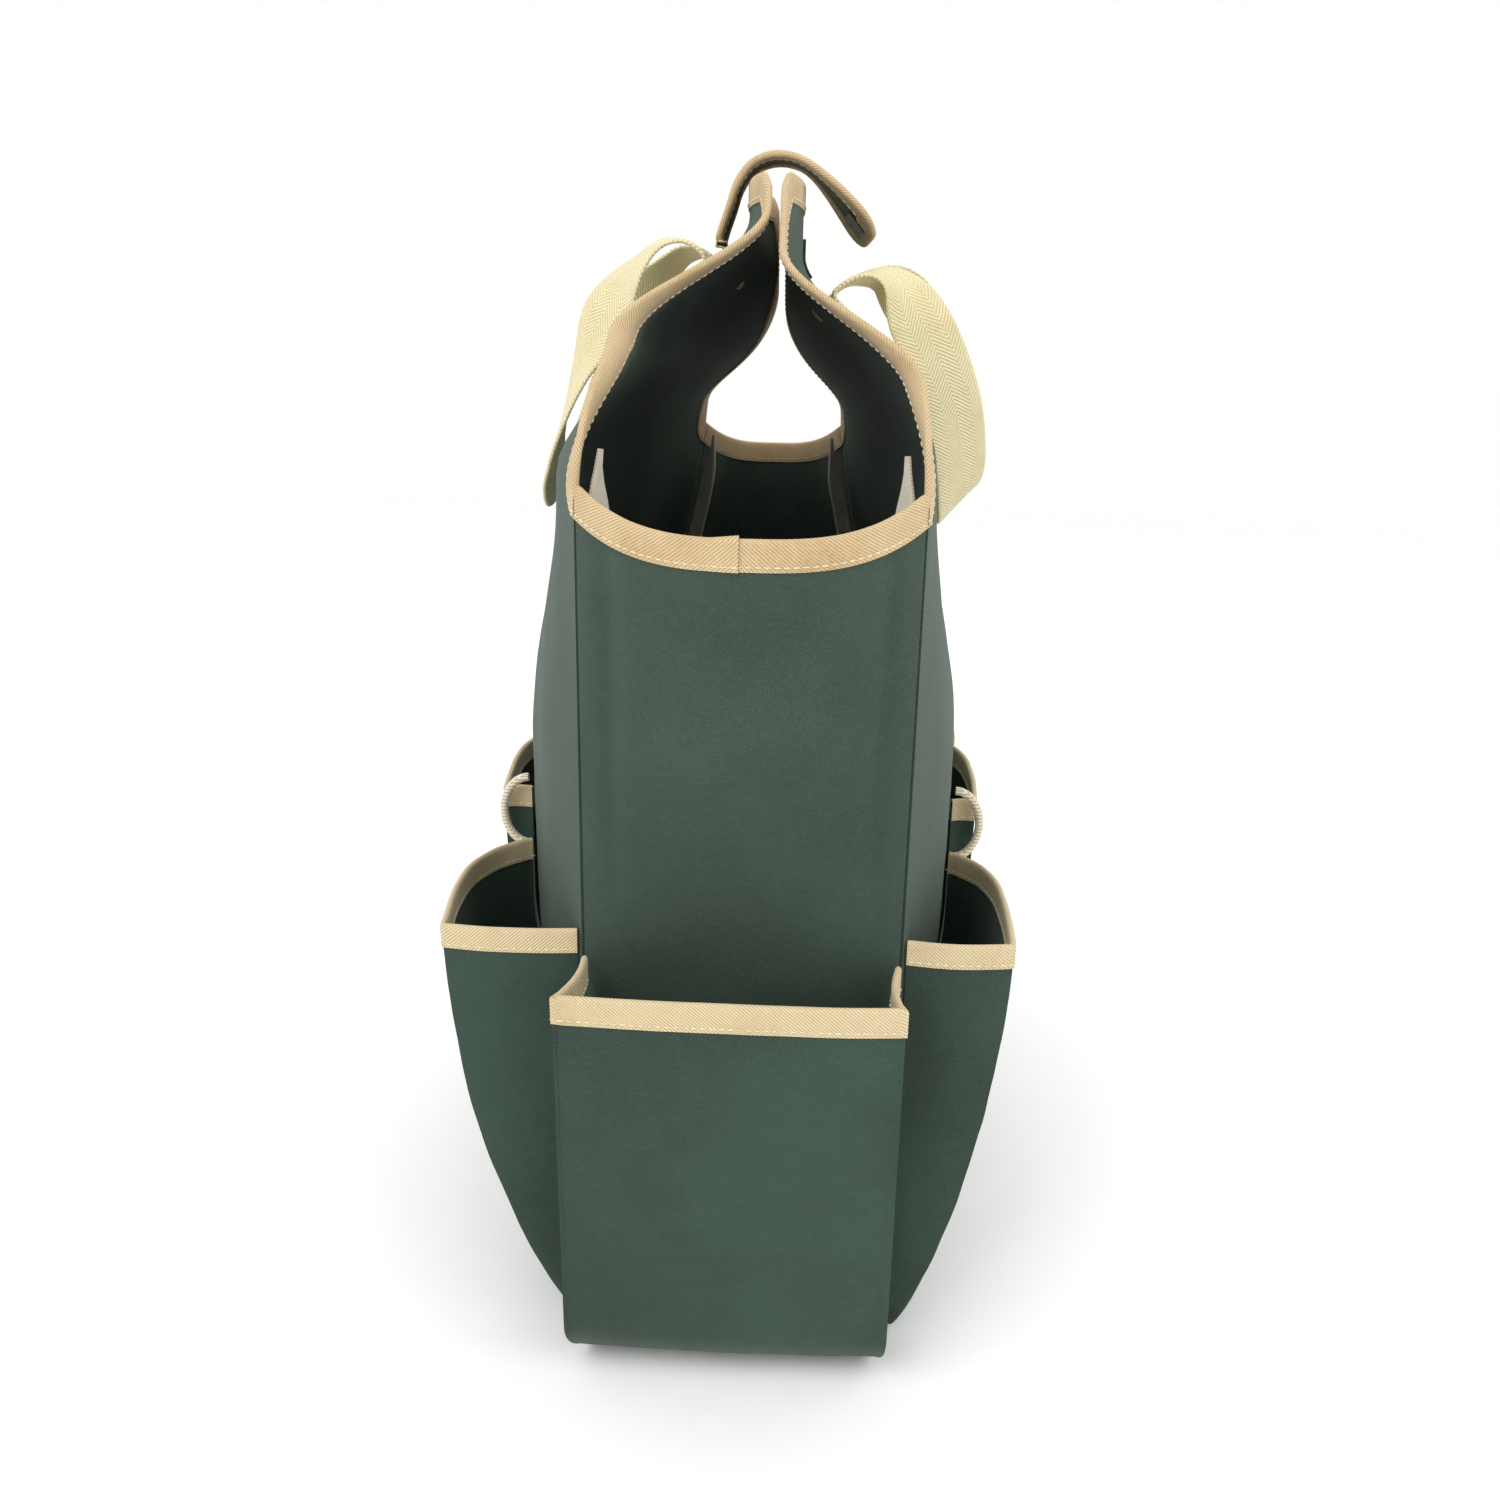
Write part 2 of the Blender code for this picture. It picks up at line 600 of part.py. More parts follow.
def make_tool_loop(side):
    """A loop of elastic cord standing off a long side between its first two pockets."""
    points = []
    for step in range(13):
        turn = math.pi * step / 12
        z = LOOP_LOW_Z + 0.5 * LOOP_SPAN * (1 - math.cos(turn))
        root = abs(side_x(side, LOOP_Y, z)) + CLOTH / 2 + LOOP_RADIUS + 0.0006
        points.append((side * (root + LOOP_STAND * math.sin(turn)), LOOP_Y, z))
    route = bpy.data.curves.new(f"{side_name(side)}_tool_loop", "CURVE")
    route.dimensions = "3D"
    line = route.splines.new("POLY")
    line.points.add(len(points) - 1)
    for target, point in zip(line.points, points):
        target.co = (*point, 1.0)
    route.bevel_depth = LOOP_RADIUS
    route.bevel_resolution = 2
    route.use_fill_caps = True
    route.materials.append(material(f"{side_name(side)}_tool_loop", CORD_WHITE, 0.8))
    made = bpy.data.objects.new(f"{side_name(side)}_tool_loop", route)
    bpy.context.scene.collection.objects.link(made)


def group_of(name):
    """The moving group that a piece belongs to, or None for the bag's body."""
    if name in ("closure_tab", "closure_tab_binding", "closure_hook_patch"):
        return "closure_tab"
    if name in ("left_handle", "right_handle"):
        return name
    if name == "closure_tab_root":
        return "left_flap"
    if name == "closure_loop_patch":
        return "right_flap"
    for side in ("left", "right"):
        if name.startswith((f"{side}_flap", f"{side}_handle_")):
            return f"{side}_flap"
    return None


def hang_moving_pieces():
    """Parents each moving piece to an empty on its hinge, and each empty to the group that carries it."""
    pieces = list(bpy.context.scene.objects)
    hinges = {}
    for group, place in HINGES.items():
        hinge = bpy.data.objects.new(f"{group}_hinge", None)
        bpy.context.scene.collection.objects.link(hinge)
        hinge.location = place
        hinges[group] = hinge
    for child, parent in (("left_handle", "left_flap"), ("right_handle", "right_flap"), ("closure_tab", "left_flap")):
        hinges[child].location -= hinges[parent].location
        hinges[child].parent = hinges[parent]
    bpy.context.view_layer.update()
    for piece in pieces:
        group = group_of(piece.name)
        if group:
            piece.parent = hinges[group]
            piece.matrix_parent_inverse = hinges[group].matrix_world.inverted()


def main():
    for old in list(bpy.data.objects):
        bpy.data.objects.remove(old, do_unlink=True)
    make_base()
    make_tab()
    make_tab_patches()
    for end in (-1, 1):
        make_end(end)
        make_end_pocket(end)
    for side in (-1, 1):
        make_side_panel(side)
        make_flap(side)
        make_handle(side)
        make_tool_loop(side)
        for place in range(3):
            make_side_pocket(side, place)
        for end in (-1, 1):
            make_corner_binding(side, end)
            make_handle_tail(side, end)
    hang_moving_pieces()


main()
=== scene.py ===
"""Garden tool bag: cloth shells, folded tapes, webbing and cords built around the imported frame.

Metres, in the frame's own axes: +X to the right, +Y along the length with the near end at -Y, +Z up.
"""

import math

import bmesh
import bpy
import numpy as np
from mathutils import Matrix, Vector, noise


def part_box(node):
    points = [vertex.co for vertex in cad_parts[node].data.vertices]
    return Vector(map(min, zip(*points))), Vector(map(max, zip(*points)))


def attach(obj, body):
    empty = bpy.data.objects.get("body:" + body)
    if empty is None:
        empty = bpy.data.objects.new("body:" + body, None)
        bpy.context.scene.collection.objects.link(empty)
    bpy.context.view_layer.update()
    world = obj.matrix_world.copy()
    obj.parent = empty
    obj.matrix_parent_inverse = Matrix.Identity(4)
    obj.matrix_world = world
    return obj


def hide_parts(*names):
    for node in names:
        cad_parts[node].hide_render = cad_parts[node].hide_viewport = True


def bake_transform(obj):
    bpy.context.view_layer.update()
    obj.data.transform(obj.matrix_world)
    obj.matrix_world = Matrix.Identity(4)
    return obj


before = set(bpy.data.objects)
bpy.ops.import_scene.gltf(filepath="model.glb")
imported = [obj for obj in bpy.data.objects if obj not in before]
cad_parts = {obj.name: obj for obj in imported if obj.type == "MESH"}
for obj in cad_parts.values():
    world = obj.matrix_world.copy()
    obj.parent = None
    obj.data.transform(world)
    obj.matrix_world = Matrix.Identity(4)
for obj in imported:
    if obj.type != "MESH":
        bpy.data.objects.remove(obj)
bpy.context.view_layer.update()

# Body, as in the CAD source
HALF_WIDTH = 0.0675
HALF_LENGTH = 0.1675
RIM_Z = 0.387
TOP_Z = 0.509
TOP_HALF_LENGTH = 0.072
TOP_SHIFT = 0.0048
TOP_HALF_GAP = 0.0034
TOP_SPREAD = {-1: 0.010, 1: 0.007}
RIM_DIP = 0.015
RIM_POWER = 3.2
END_BOW = {-1: 0.025, 1: 0.036}
LOW_BOW = 0.003
BOW_POWER = 2.6
FAR_PINCH = 0.0155
LOW_PINCH = 0.009
PINCH_FROM = 0.285
BELLY = {-1: 0.049, 1: 0.035}
RIM_BELLY = {-1: 0.032, 1: 0.018}
BELLY_FADE = 0.45
FLAP_TAPER = {-1: 0.009, 1: 0.004}
BELLY_FROM = 0.17
UPPER_FROM = 0.25
END_BOW_FROM = 0.15
LOW_BOW_OVER = 0.1
SEAM_TUCK = 0.0006
LEAN_START = {-1: 0.455, 1: 0.33}
LEAN_SPAN = {-1: 0.43, 1: 0.42}
FAR_LEAN = {-1: 0.34, 1: 0.25}
EDGE_HOLLOW = 0.006
HOLLOW_REACH = 0.014
CLOTH = 0.0016
POCKET_CLOTH = 0.0014
TAPE = 0.0006
TAPE_GAP = 0.0005
WEBBING = 0.002
WEBBING_WIDTH = 0.028
BASE_THICKNESS = 0.002
BOARD_THICKNESS = 0.003
BOARD_MARGIN = 0.008
WALL_BOTTOM = 0.0026

# Pockets
END_POCKET_Z = 0.190
END_POCKET_OUT = 0.041
END_POCKET_ROUND = 0.026
END_POCKET_LOW = 0.82
END_POCKET_WIDER = 0.0016
END_POCKET_SHIFT = -0.0032
END_POCKET_DRAW = 0.010
END_POCKET_WELT = 0.0011
END_POCKET_SLACK = 0.0022
END_POCKET_BELLY = 0.0022
END_POCKET_CROWDING = 0.9
GUSSET_POINTS = 12
SIDE_POCKET_Z = (0.199, 0.223, 0.223)
SIDE_POCKET_Y = (-0.1665, -0.0540, 0.0560, 0.1665)
SIDE_POCKET_X = {-1: (0.129, 0.1245, 0.1245), 1: (0.115, 0.1105, 0.1105)}
SIDE_POCKET_SWELL = {-1: 0.0045, 1: 0.003}
SIDE_POCKET_CURVE = {-1: 0.70, 1: 0.66}
SIDE_POCKET_END_GAP = (0.0090, 0.0030, 0.0030)
SIDE_POCKET_LEAST = 0.0035
LAST_POCKET_DRAW = 0.012
POCKET_BOTTOM = 0.0032
POCKET_INSET = 0.0020

# Corner seam bindings
FIN_WIDTH = 0.012
FIN_THICKNESS = 0.0018
FIN_INSET = 0.0046
FIN_BOTTOM = 0.013
FIN_POINT = 0.030
FIN_CLEAR = 0.0030
FIN_ROWS = 60
FIN_STITCHED = 52
FIN_NARROWING = 0.85
FIN_STITCH_AT = 0.22
FIN_SWAY = 0.0012
FIN_SWAY_TILT = 60
FIN_TOP = {-1: RIM_Z + 0.014, 1: RIM_Z - 0.006}

# Handles
HANDLE_Y = 0.058
TAIL_Z = {-1: (0.436, 0.465), 1: (0.423, 0.452)}
HANDLE_ARCH = {
    -1: ((-0.0255, 0.4740), (-0.0315, 0.4800), (-0.0385, 0.4820)),
    1: ((0.0305, 0.4610), (0.0385, 0.4675), (0.0485, 0.4700)),
}
HANDLE_NEAR = {
    -1: ((-0.0472, 0.4800, 0.058), (-0.0563, 0.4712, 0.058), (-0.0680, 0.4550, 0.056),
         (-0.0810, 0.4330, 0.051), (-0.0930, 0.4050, 0.042), (-0.1005, 0.3850, 0.028),
         (-0.1035, 0.3735, 0.014)),
    1: ((0.0580, 0.4660, 0.058), (0.0680, 0.4520, 0.057), (0.0790, 0.4325, 0.053),
        (0.0882, 0.4110, 0.045), (0.0942, 0.3885, 0.031), (0.0966, 0.3710, 0.016)),
}
HANDLE_LOW = {-1: (-0.1042, 0.3705, 0.0), 1: (0.0968, 0.3640, 0.0)}
HANDLE_FAR = {
    -1: HANDLE_NEAR[-1],
    1: ((0.0575, 0.4700, 0.058), (0.0700, 0.4615, 0.057), (0.0820, 0.4440, 0.053), (0.0905, 0.4210, 0.045),
        (0.0955, 0.3960, 0.033), (0.0968, 0.3730, 0.017)),
}
HANDLE_FACE = {-1: (0.30, 0.0, 0.95), 1: (0.66, 0.0, 0.75)}
TAIL_POINTS = 9
SLANT_STEP = 0.001
LEVEL_OVER = 0.015
TURN_FROM = 0.028
TURN_OVER = 0.060
BOX_STITCH = (0.004, 0.026, 0.42)

# Closure tab
TAB_HALF_WIDTH = 0.0225
TAB_ROUTE = ((-0.0232, 0.4835), (-0.0182, 0.4995), (-0.0148, 0.5095), (-0.0090, 0.5172), (-0.0008, 0.5211),
             (0.0084, 0.5214), (0.0176, 0.5180), (0.0273, 0.5100), (0.0377, 0.4989), (0.0474, 0.4868))
TAB_TWIST = (-0.12, -0.13)
TAB_TWIST_FROM = 0.014
TAB_ANCHOR_Z = (0.453, 0.479)
LOOP_PATCH_Z = (0.468, 0.486)
LOOP_PATCH_HALF = 0.012
PATCH = 0.0012

# Elastic tool loops
LOOP_RADIUS = 0.0021
LOOP_Y = -0.0590
LOOP_SPAN = 0.035
LOOP_LOW_Z = 0.196
LOOP_STAND = 0.0128

# Camera, the look and the finish of edges
CAMERA_AT = (0.0202, -0.6886, 0.4509)
CAMERA_PITCH = 0.3106
CAMERA_YAW = -0.0354
CAMERA_ROLL = 0.0212
CAMERA_LENS = 32.4
TOP_ROUND = 0.0125
TAB_ROUND = 0.0125
STATION = 0.0035
STITCH_PITCH = 0.0036
STITCH_LENGTH = 0.0026
STITCH_RADIUS = 0.00032
STITCH_SHARE = 0.82
MOUTH_DEPTH = 0.0108
END_POCKET_DEPTH = 0.0115
SIDE_POCKET_DEPTH = 0.0097
TAPE_SHARES = np.array((0.0, 0.2, 0.45, 0.72, 1.0))
SHARP_ANGLE = math.radians(55)
SIDES = {-1: "left", 1: "right"}
ENDS = {-1: "near", 1: "far"}
SIDEWAYS = np.array((1.0, 0, 0))
LENGTHWAYS = np.array((0, 1.0, 0))

# Ripples in the cloth: upward squash, then scale and depth of the coarse ones and of the fine ones
SIDE_RIPPLE = (0.55, 16.0, 0.0022, 42.0, 0.0006)
END_RIPPLE = (0.40, 19.0, 0.0020, 50.0, 0.0005)
END_POCKET_RIPPLE = (0.50, 22.0, 0.0016, 60.0, 0.0004)
SIDE_POCKET_RIPPLE = (0.45, 24.0, 0.0018, 65.0, 0.0005)

# Creases down an end panel, in shares of its half width
END_CREASE = 0.0026
END_CREASE_AT = 0.80
END_CREASE_WIDTH = 0.07
END_CREASE_FROM = 0.19
END_CREASE_FADE = 0.06
END_CROWDING = 0.92

# Stage: a floor that curves up into a wall, and lights as name, place, height aimed at and power
COVE_FLAT = 2.6
COVE_TURN = 1.4
COVE_HEIGHT = 1.6
COVE_SIDES = 64
LIGHTS = (("key", (-0.9, -1.1, 1.5), 0.25, 12.0), ("fill", (1.2, -0.8, 1.1), 0.25, 6.0),
          ("back", (0.1, 1.4, 1.4), 0.3, 7.0))
LIGHT_SIZE = 1.2
WORLD_STRENGTH = 1.06


# Small tools

def smooth(t):
    t = np.clip(t, 0.0, 1.0)
    return t * t * (3.0 - 2.0 * t)


def unit(vectors):
    vectors = np.asarray(vectors, float)
    return vectors / np.maximum(np.linalg.norm(vectors, axis=-1, keepdims=True), 1e-12)


def grid_normals(grid):
    return unit(np.cross(np.gradient(grid, axis=0), np.gradient(grid, axis=1)))


def lengths_along(points):
    """Distance from the first point along the last-but-one axis."""
    steps = np.linalg.norm(np.diff(points, axis=0), axis=-1)
    return np.concatenate([np.zeros_like(steps[:1]), np.cumsum(steps, axis=0)])


def read_off(wanted, along, rows):
    """Each column of rows, known at the places along, read off at the wanted places."""
    return np.stack([np.interp(wanted, along, rows[:, k]) for k in range(rows.shape[1])], axis=1)


def resample(points, spacing):
    points = np.asarray(points, float)
    along = lengths_along(points)
    count = max(2, int(round(along[-1] / spacing)) + 1)
    return read_off(np.linspace(0, along[-1], count), along, points)


def curve_through(points, steps):
    """Catmull-Rom curve through the points, with the given number of steps in each span."""
    points = [np.asarray(point, float) for point in points]
    points = [2 * points[0] - points[1], *points, 2 * points[-1] - points[-2]]
    curve = []
    for before, start, end, after in zip(points, points[1:], points[2:], points[3:]):
        for step in range(steps):
            t = step / steps
            curve.append(0.5 * (2 * start + (end - before) * t
                                + (2 * before - 5 * start + 4 * end - after) * t**2
                                + (3 * start - before - 3 * end + after) * t**3))
    return np.array(curve + [points[-2]])


def ripple(points, scale, seed):
    """Soft noise at each point, about -1 to 1."""
    flat = np.asarray(points, float).reshape(-1, 3)
    values = [noise.noise(Vector(point) * scale + Vector((seed, -seed, 2 * seed))) for point in flat]
    return np.array(values).reshape(np.shape(points)[:-1])


def cloth_ripple(grid, kind, coarse_seed, fine_seed):
    squash, coarse, coarse_depth, fine, fine_depth = kind
    return (ripple(grid * (1, 1, squash), coarse, coarse_seed) * coarse_depth
            + ripple(grid, fine, fine_seed) * fine_depth)


def crowded(count, share):
    """Places from -1 to 1, closer together towards both ends."""
    return np.sin(np.linspace(-1, 1, count) * math.pi / 2 * share) / math.sin(math.pi / 2 * share)


def linked(name, data):
    made = bpy.data.objects.new(name, data)
    bpy.context.scene.collection.objects.link(made)
    return made


def settle(piece, slot, *nodes, body="bag_body"):
    """The piece stays with one body and stands for the nodes."""
    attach(piece, body)
    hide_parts(*nodes)


class Build:
    """One mesh of two-sided layers, with a map in metres and a record of where each point rests."""

    def __init__(self):
        self.points, self.faces, self.maps, self.slots = [], [], [], []
        self.count = 0

    def add(self, points, faces, uv, slot=0):
        points = np.asarray(points, float).reshape(-1, 3)
        self.points.append(points)
        self.maps.append(np.asarray(uv, float).reshape(-1, 2))
        self.faces += [tuple(index + self.count for index in face) for face in faces]
        self.slots += [slot] * len(faces)
        self.count += len(points)

    def layers(self, top, bottom, uv=None):
        """Two matching grids joined round their borders."""
        rows, columns = top.shape[:2]
        if uv is None:
            across = lengths_along(np.swapaxes(top, 0, 1)).T
            uv = np.stack([across, lengths_along(top)], axis=-1)
        count = rows * columns
        faces = []
        for i in range(rows - 1):
            for j in range(columns - 1):
                a = i * columns + j
                quad = (a, a + 1, a + columns + 1, a + columns)
                faces += [quad, tuple(index + count for index in reversed(quad))]
        border = list(range(columns)) + [i * columns + columns - 1 for i in range(1, rows)]
        border += [(rows - 1) * columns + j for j in range(columns - 2, -1, -1)]
        border += [i * columns for i in range(rows - 2, 0, -1)]
        faces += [(a, b, b + count, a + count) for a, b in zip(border, border[1:] + border[:1])]
        both = np.concatenate([top.reshape(-1, 3), bottom.reshape(-1, 3)])
        self.add(both, faces, np.concatenate([uv.reshape(-1, 2)] * 2))

    def cloth(self, grid, thickness):
        offset = grid_normals(grid) * thickness / 2
        self.layers(grid + offset, grid - offset)

    def stitches(self, points, normals):
        """A run of raised stitches along the points, in the second material."""
        points, normals = np.asarray(points, float), unit(normals)
        along = lengths_along(points)
        places = np.arange(STITCH_PITCH / 2, along[-1], STITCH_PITCH)
        spots = read_off(places, along, points)
        ups = unit(read_off(places, along, normals))
        ways = unit(read_off(places + 1e-4, along, points) - read_off(places - 1e-4, along, points))
        sides = np.cross(ways, ups)
        for spot, up, way, across in zip(spots, ups, ways, sides):
            ring = []
            for share, girth, lift in ((-1, 0.45, -0.5), (-0.55, 1, 0.5), (0.55, 1, 0.5), (1, 0.45, -0.5)):
                middle = spot + way * share * STITCH_LENGTH / 2 + up * lift * STITCH_RADIUS
                for corner in range(5):
                    angle = 2 * math.pi * corner / 5
                    out = across * math.cos(angle) + up * math.sin(angle)
                    ring.append(middle + STITCH_RADIUS * girth * out)
            faces = [(5 * i + j, 5 * i + (j + 1) % 5, 5 * i + 5 + (j + 1) % 5, 5 * i + 5 + j)
                     for i in range(3) for j in range(5)]
            faces += [(4, 3, 2, 1, 0), (15, 16, 17, 18, 19)]
            self.add(ring, faces, np.zeros((20, 2)), 1)

    def tape(self, legs, normals, outs, cloth, lift=None):
        """Tape folded over an edge. legs and normals hold each station's points from the edge inwards."""
        near = cloth / 2 + TAPE_GAP * 0.2
        far = near + TAPE
        extra = np.zeros(len(legs)) if lift is None else np.asarray(lift)

        def folded(offset):
            level = (offset + extra)[:, None, None]
            outer, inner = legs[:, ::-1] + normals[:, ::-1] * level, legs - normals * level
            bend = [legs[:, 0] + level[:, 0] * (normals[:, 0] * math.cos(a) + outs * math.sin(a))
                    for a in (math.pi * 0.25, math.pi * 0.5, math.pi * 0.75)]
            return np.concatenate([outer, np.stack(bend, axis=1), inner], axis=1)

        top, bottom = folded(far), folded(near)
        around = lengths_along(np.swapaxes(top, 0, 1)).mean(axis=1)
        along = lengths_along(legs[:, 0])
        uv = np.stack(np.broadcast_arrays(along[:, None], around[None, :]), axis=-1)
        self.layers(top, bottom, uv)
        k = int(np.searchsorted(TAPE_SHARES, STITCH_SHARE)) - 1
        share = (STITCH_SHARE - TAPE_SHARES[k]) / (TAPE_SHARES[k + 1] - TAPE_SHARES[k])
        line = legs[:, k] * (1 - share) + legs[:, k + 1] * share
        way = unit(normals[:, k] * (1 - share) + normals[:, k + 1] * share)
        for face in (1, -1):
            self.stitches(line + way * face * (far + extra)[:, None], way * face)

    def ribbon(self, centres, across, width, thickness):
        """A woven strap along the centres, its selvedges rounded and its face a little crowned."""
        centres = np.asarray(centres, float)
        along = unit(np.gradient(centres, axis=0))
        across = unit(across - along * np.sum(across * along, axis=1, keepdims=True))
        normal = unit(np.cross(along, across))
        places = np.array((-1.0, -0.965, -0.90, -0.6, -0.25, 0.25, 0.6, 0.90, 0.965, 1.0))
        girth = np.array((0.35, 0.8, 1.0, 0.96, 0.94, 0.94, 0.96, 1.0, 0.8, 0.35))
        middle = centres[:, None] + across[:, None] * places[None, :, None] * width / 2
        offset = normal[:, None] * girth[None, :, None] * thickness / 2
        run = lengths_along(centres)
        uv = np.stack(np.broadcast_arrays(run[:, None], (places * width / 2)[None, :]), axis=-1)
        self.layers(middle + offset, middle - offset, uv)
        return across, normal

    def make(self, name, *materials):
        points = np.concatenate(self.points)
        mesh = bpy.data.meshes.new(name)
        shape = bmesh.new()
        corners = [shape.verts.new(point) for point in points]
        layer = shape.loops.layers.uv.new("Cloth")
        maps = np.concatenate(self.maps)
        for face, slot in zip(self.faces, self.slots):
            made = shape.faces.new([corners[index] for index in face])
            made.material_index = slot
            for loop, index in zip(made.loops, face):
                loop[layer].uv = maps[index]
        bmesh.ops.recalc_face_normals(shape, faces=shape.faces)
        shape.to_mesh(mesh)
        shape.free()
        mesh.shade_smooth()
        mesh.set_sharp_from_angle(angle=SHARP_ANGLE)
        rest = mesh.attributes.new("Rest", "FLOAT_VECTOR", "POINT")
        rest.data.foreach_set("vector", points.astype(np.float32).ravel())
        for finish in materials:
            mesh.materials.append(finish)
        return linked(name, mesh)


def sheet(name, grid, thickness, material):
    build = Build()
    build.cloth(grid, thickness)
    return build.make(name, material)


# Materials

class Nodes:
    """A Principled material with shorthand for its node links."""

    def __init__(self, name, roughness, sheen=0.0, sheen_tint=(1.0, 1.0, 1.0)):
        self.material = bpy.data.materials.new(name)
        self.material.use_nodes = True
        self.tree = self.material.node_tree
        self.shader = self.tree.nodes["Principled BSDF"]
        for socket, value in (("Metallic", 0.0), ("Roughness", roughness), ("Specular IOR Level", 0.3),
                              ("Sheen Weight", sheen), ("Sheen Roughness", 0.45),
                              ("Sheen Tint", (*sheen_tint, 1.0))):
            self.finish(socket, value)

    def node(self, kind, sockets=(), **settings):
        """A new node with its settings and what goes into its sockets."""
        node = self.tree.nodes.new("ShaderNode" + kind)
        for name, value in settings.items():
            setattr(node, name, value)
        for socket, value in dict(sockets).items():
            self.put(node.inputs[socket], value)
        return node

    def put(self, socket, value):
        if isinstance(value, bpy.types.NodeSocket):
            self.tree.links.new(value, socket)
        else:
            socket.default_value = value

    def finish(self, name, value):
        self.put(self.shader.inputs[name], value)

    def math(self, operation, first, second=0.0, third=0.5):
        return self.node("Math", {0: first, 1: second, 2: third}, operation=operation).outputs[0]

    def rest(self):
        return self.node("Attribute", attribute_name="Rest").outputs["Vector"]

    def noise(self, vector, scale, detail=3.0, roughness=0.55):
        sockets = {"Vector": vector, "Scale": scale, "Detail": detail, "Roughness": roughness}
        return self.node("TexNoise", sockets).outputs["Fac"]

    def axes(self, place):
        return self.node("SeparateXYZ", {0: place}).outputs

    def cloth_axes(self):
        return self.axes(self.node("UVMap", uv_map="Cloth").outputs[0])

    def wave(self, first, second, pitch_first, pitch_second):
        """0 to 1 across ribs that run where first / pitch + second / pitch is constant."""
        turns = self.math("ADD", self.math("MULTIPLY", first, 2 * math.pi / pitch_first),
                          self.math("MULTIPLY", second, 2 * math.pi / pitch_second))
        return self.math("MULTIPLY_ADD", self.math("SINE", turns), 0.5, 0.5)

    def mix(self, factor, first, second):
        return self.node("Mix", {0: factor, 6: first, 7: second}, data_type="RGBA").outputs[2]

    def spread(self, value, low, high, to_low=0.0, to_high=1.0):
        sockets = {0: value, 1: low, 2: high, 3: to_low, 4: to_high}
        return self.node("MapRange", sockets, interpolation_type="SMOOTHSTEP").outputs[0]

    def bump(self, height, strength, distance):
        sockets = {"Strength": strength, "Distance": distance, "Height": height}
        self.finish("Normal", self.node("Bump", sockets).outputs[0])


def colour(*rgb):
    """A linear colour from 0-255 display values."""
    return tuple(((c / 255 + 0.055) / 1.055) ** 2.4 if c > 10 else c / 255 / 12.92 for c in rgb) + (1.0,)


def fabric(name, light, dark, worn, pitch):
    """Twill: diagonal ribs broken by the weft, mottled dye, paler threads and dust low down."""
    made = Nodes(name, 0.85, 0.15, sheen_tint=(0.85, 0.95, 0.85))
    u, v, _ = made.cloth_axes()
    ribs = made.wave(u, v, pitch, pitch)
    weft = made.wave(u, v, pitch * 0.62, -pitch * 0.62)
    rest = made.rest()
    mottle = made.noise(rest, 11.0, 4.0)
    slub = made.noise(rest, 420.0, 2.0)
    height = made.math("MULTIPLY", ribs, made.math("MULTIPLY_ADD", weft, 0.45, 0.55))
    dyed = made.mix(made.spread(mottle, 0.32, 0.68), dark, light)
    threads = made.math("MULTIPLY", made.math("SUBTRACT", height, 0.2), made.math("ADD", slub, 0.1))
    woven = made.mix(made.spread(threads, -0.05, 0.75, 0.0, 0.55), dyed, worn)
    low = made.spread(made.axes(rest)[2], 0.002, 0.035, 0.35, 0.0)
    dust = made.math("MULTIPLY", low, made.spread(made.noise(rest, 45.0, 5.0), 0.35, 0.75))
    made.finish("Base Color", made.mix(dust, woven, worn))
    made.finish("Roughness", made.spread(mottle, 0.2, 0.8, 0.79, 0.93))
    made.bump(made.math("ADD", height, made.math("MULTIPLY", slub, 0.5)), 0.55, 0.00025)
    return made.material


def narrow_fabric(name, light, dark, stain, pitch, relief, chevron=0.0):
    """Tape and webbing: slanting ribs, which turn back at each chevron, with soiled patches."""
    made = Nodes(name, 0.8, 0.2, sheen_tint=(1.0, 0.95, 0.85))
    u, v, _ = made.cloth_axes()
    if chevron:
        v = made.math("PINGPONG", made.math("ADD", v, 1.0), chevron)
    ribs = made.wave(u, v, pitch, pitch * 0.9)
    threads = made.wave(u, v, pitch * 0.8, -pitch * 0.45)
    rest = made.rest()
    soil = made.noise(rest, 26.0, 5.0, 0.62)
    slub = made.noise(rest, 600.0, 2.0)
    height = made.math("ADD", made.math("MULTIPLY", ribs, 0.8), made.math("MULTIPLY", threads, 0.25))
    tone = made.mix(made.spread(soil, 0.42, 0.78), light, stain)
    shaded = made.mix(made.spread(height, 0.05, 0.75, 0.75, 0.0), tone, dark)
    flecked = made.mix(made.spread(slub, 0.35, 0.75, 0.0, 0.25), shaded, light)
    made.finish("Base Color", flecked)
    made.finish("Roughness", made.spread(soil, 0.2, 0.8, 0.75, 0.9))
    made.bump(made.math("ADD", height, made.math("MULTIPLY", slub, 0.3)), 0.7, relief)
    return made.material


def plain(name, base, shade, scale, roughness, relief, sheen=0.0):
    """A mottled, grained finish that needs no map."""
    made = Nodes(name, roughness, sheen)
    place = made.node("TexCoord").outputs["Object"]
    grain = made.noise(place, scale, 4.0)
    tone = made.noise(place, scale * 0.05, 2.0)
    mixed = made.mix(made.spread(grain, 0.3, 0.7), shade, base)
    toned = made.mix(made.spread(tone, 0.3, 0.7, 0.0, 0.4), mixed, base)
    made.finish("Base Color", toned)
    worn = made.spread(grain, 0.2, 0.8, roughness - 0.08, roughness + 0.08)
    made.finish("Roughness", worn)
    made.bump(grain, 0.6, relief)
    return made.material


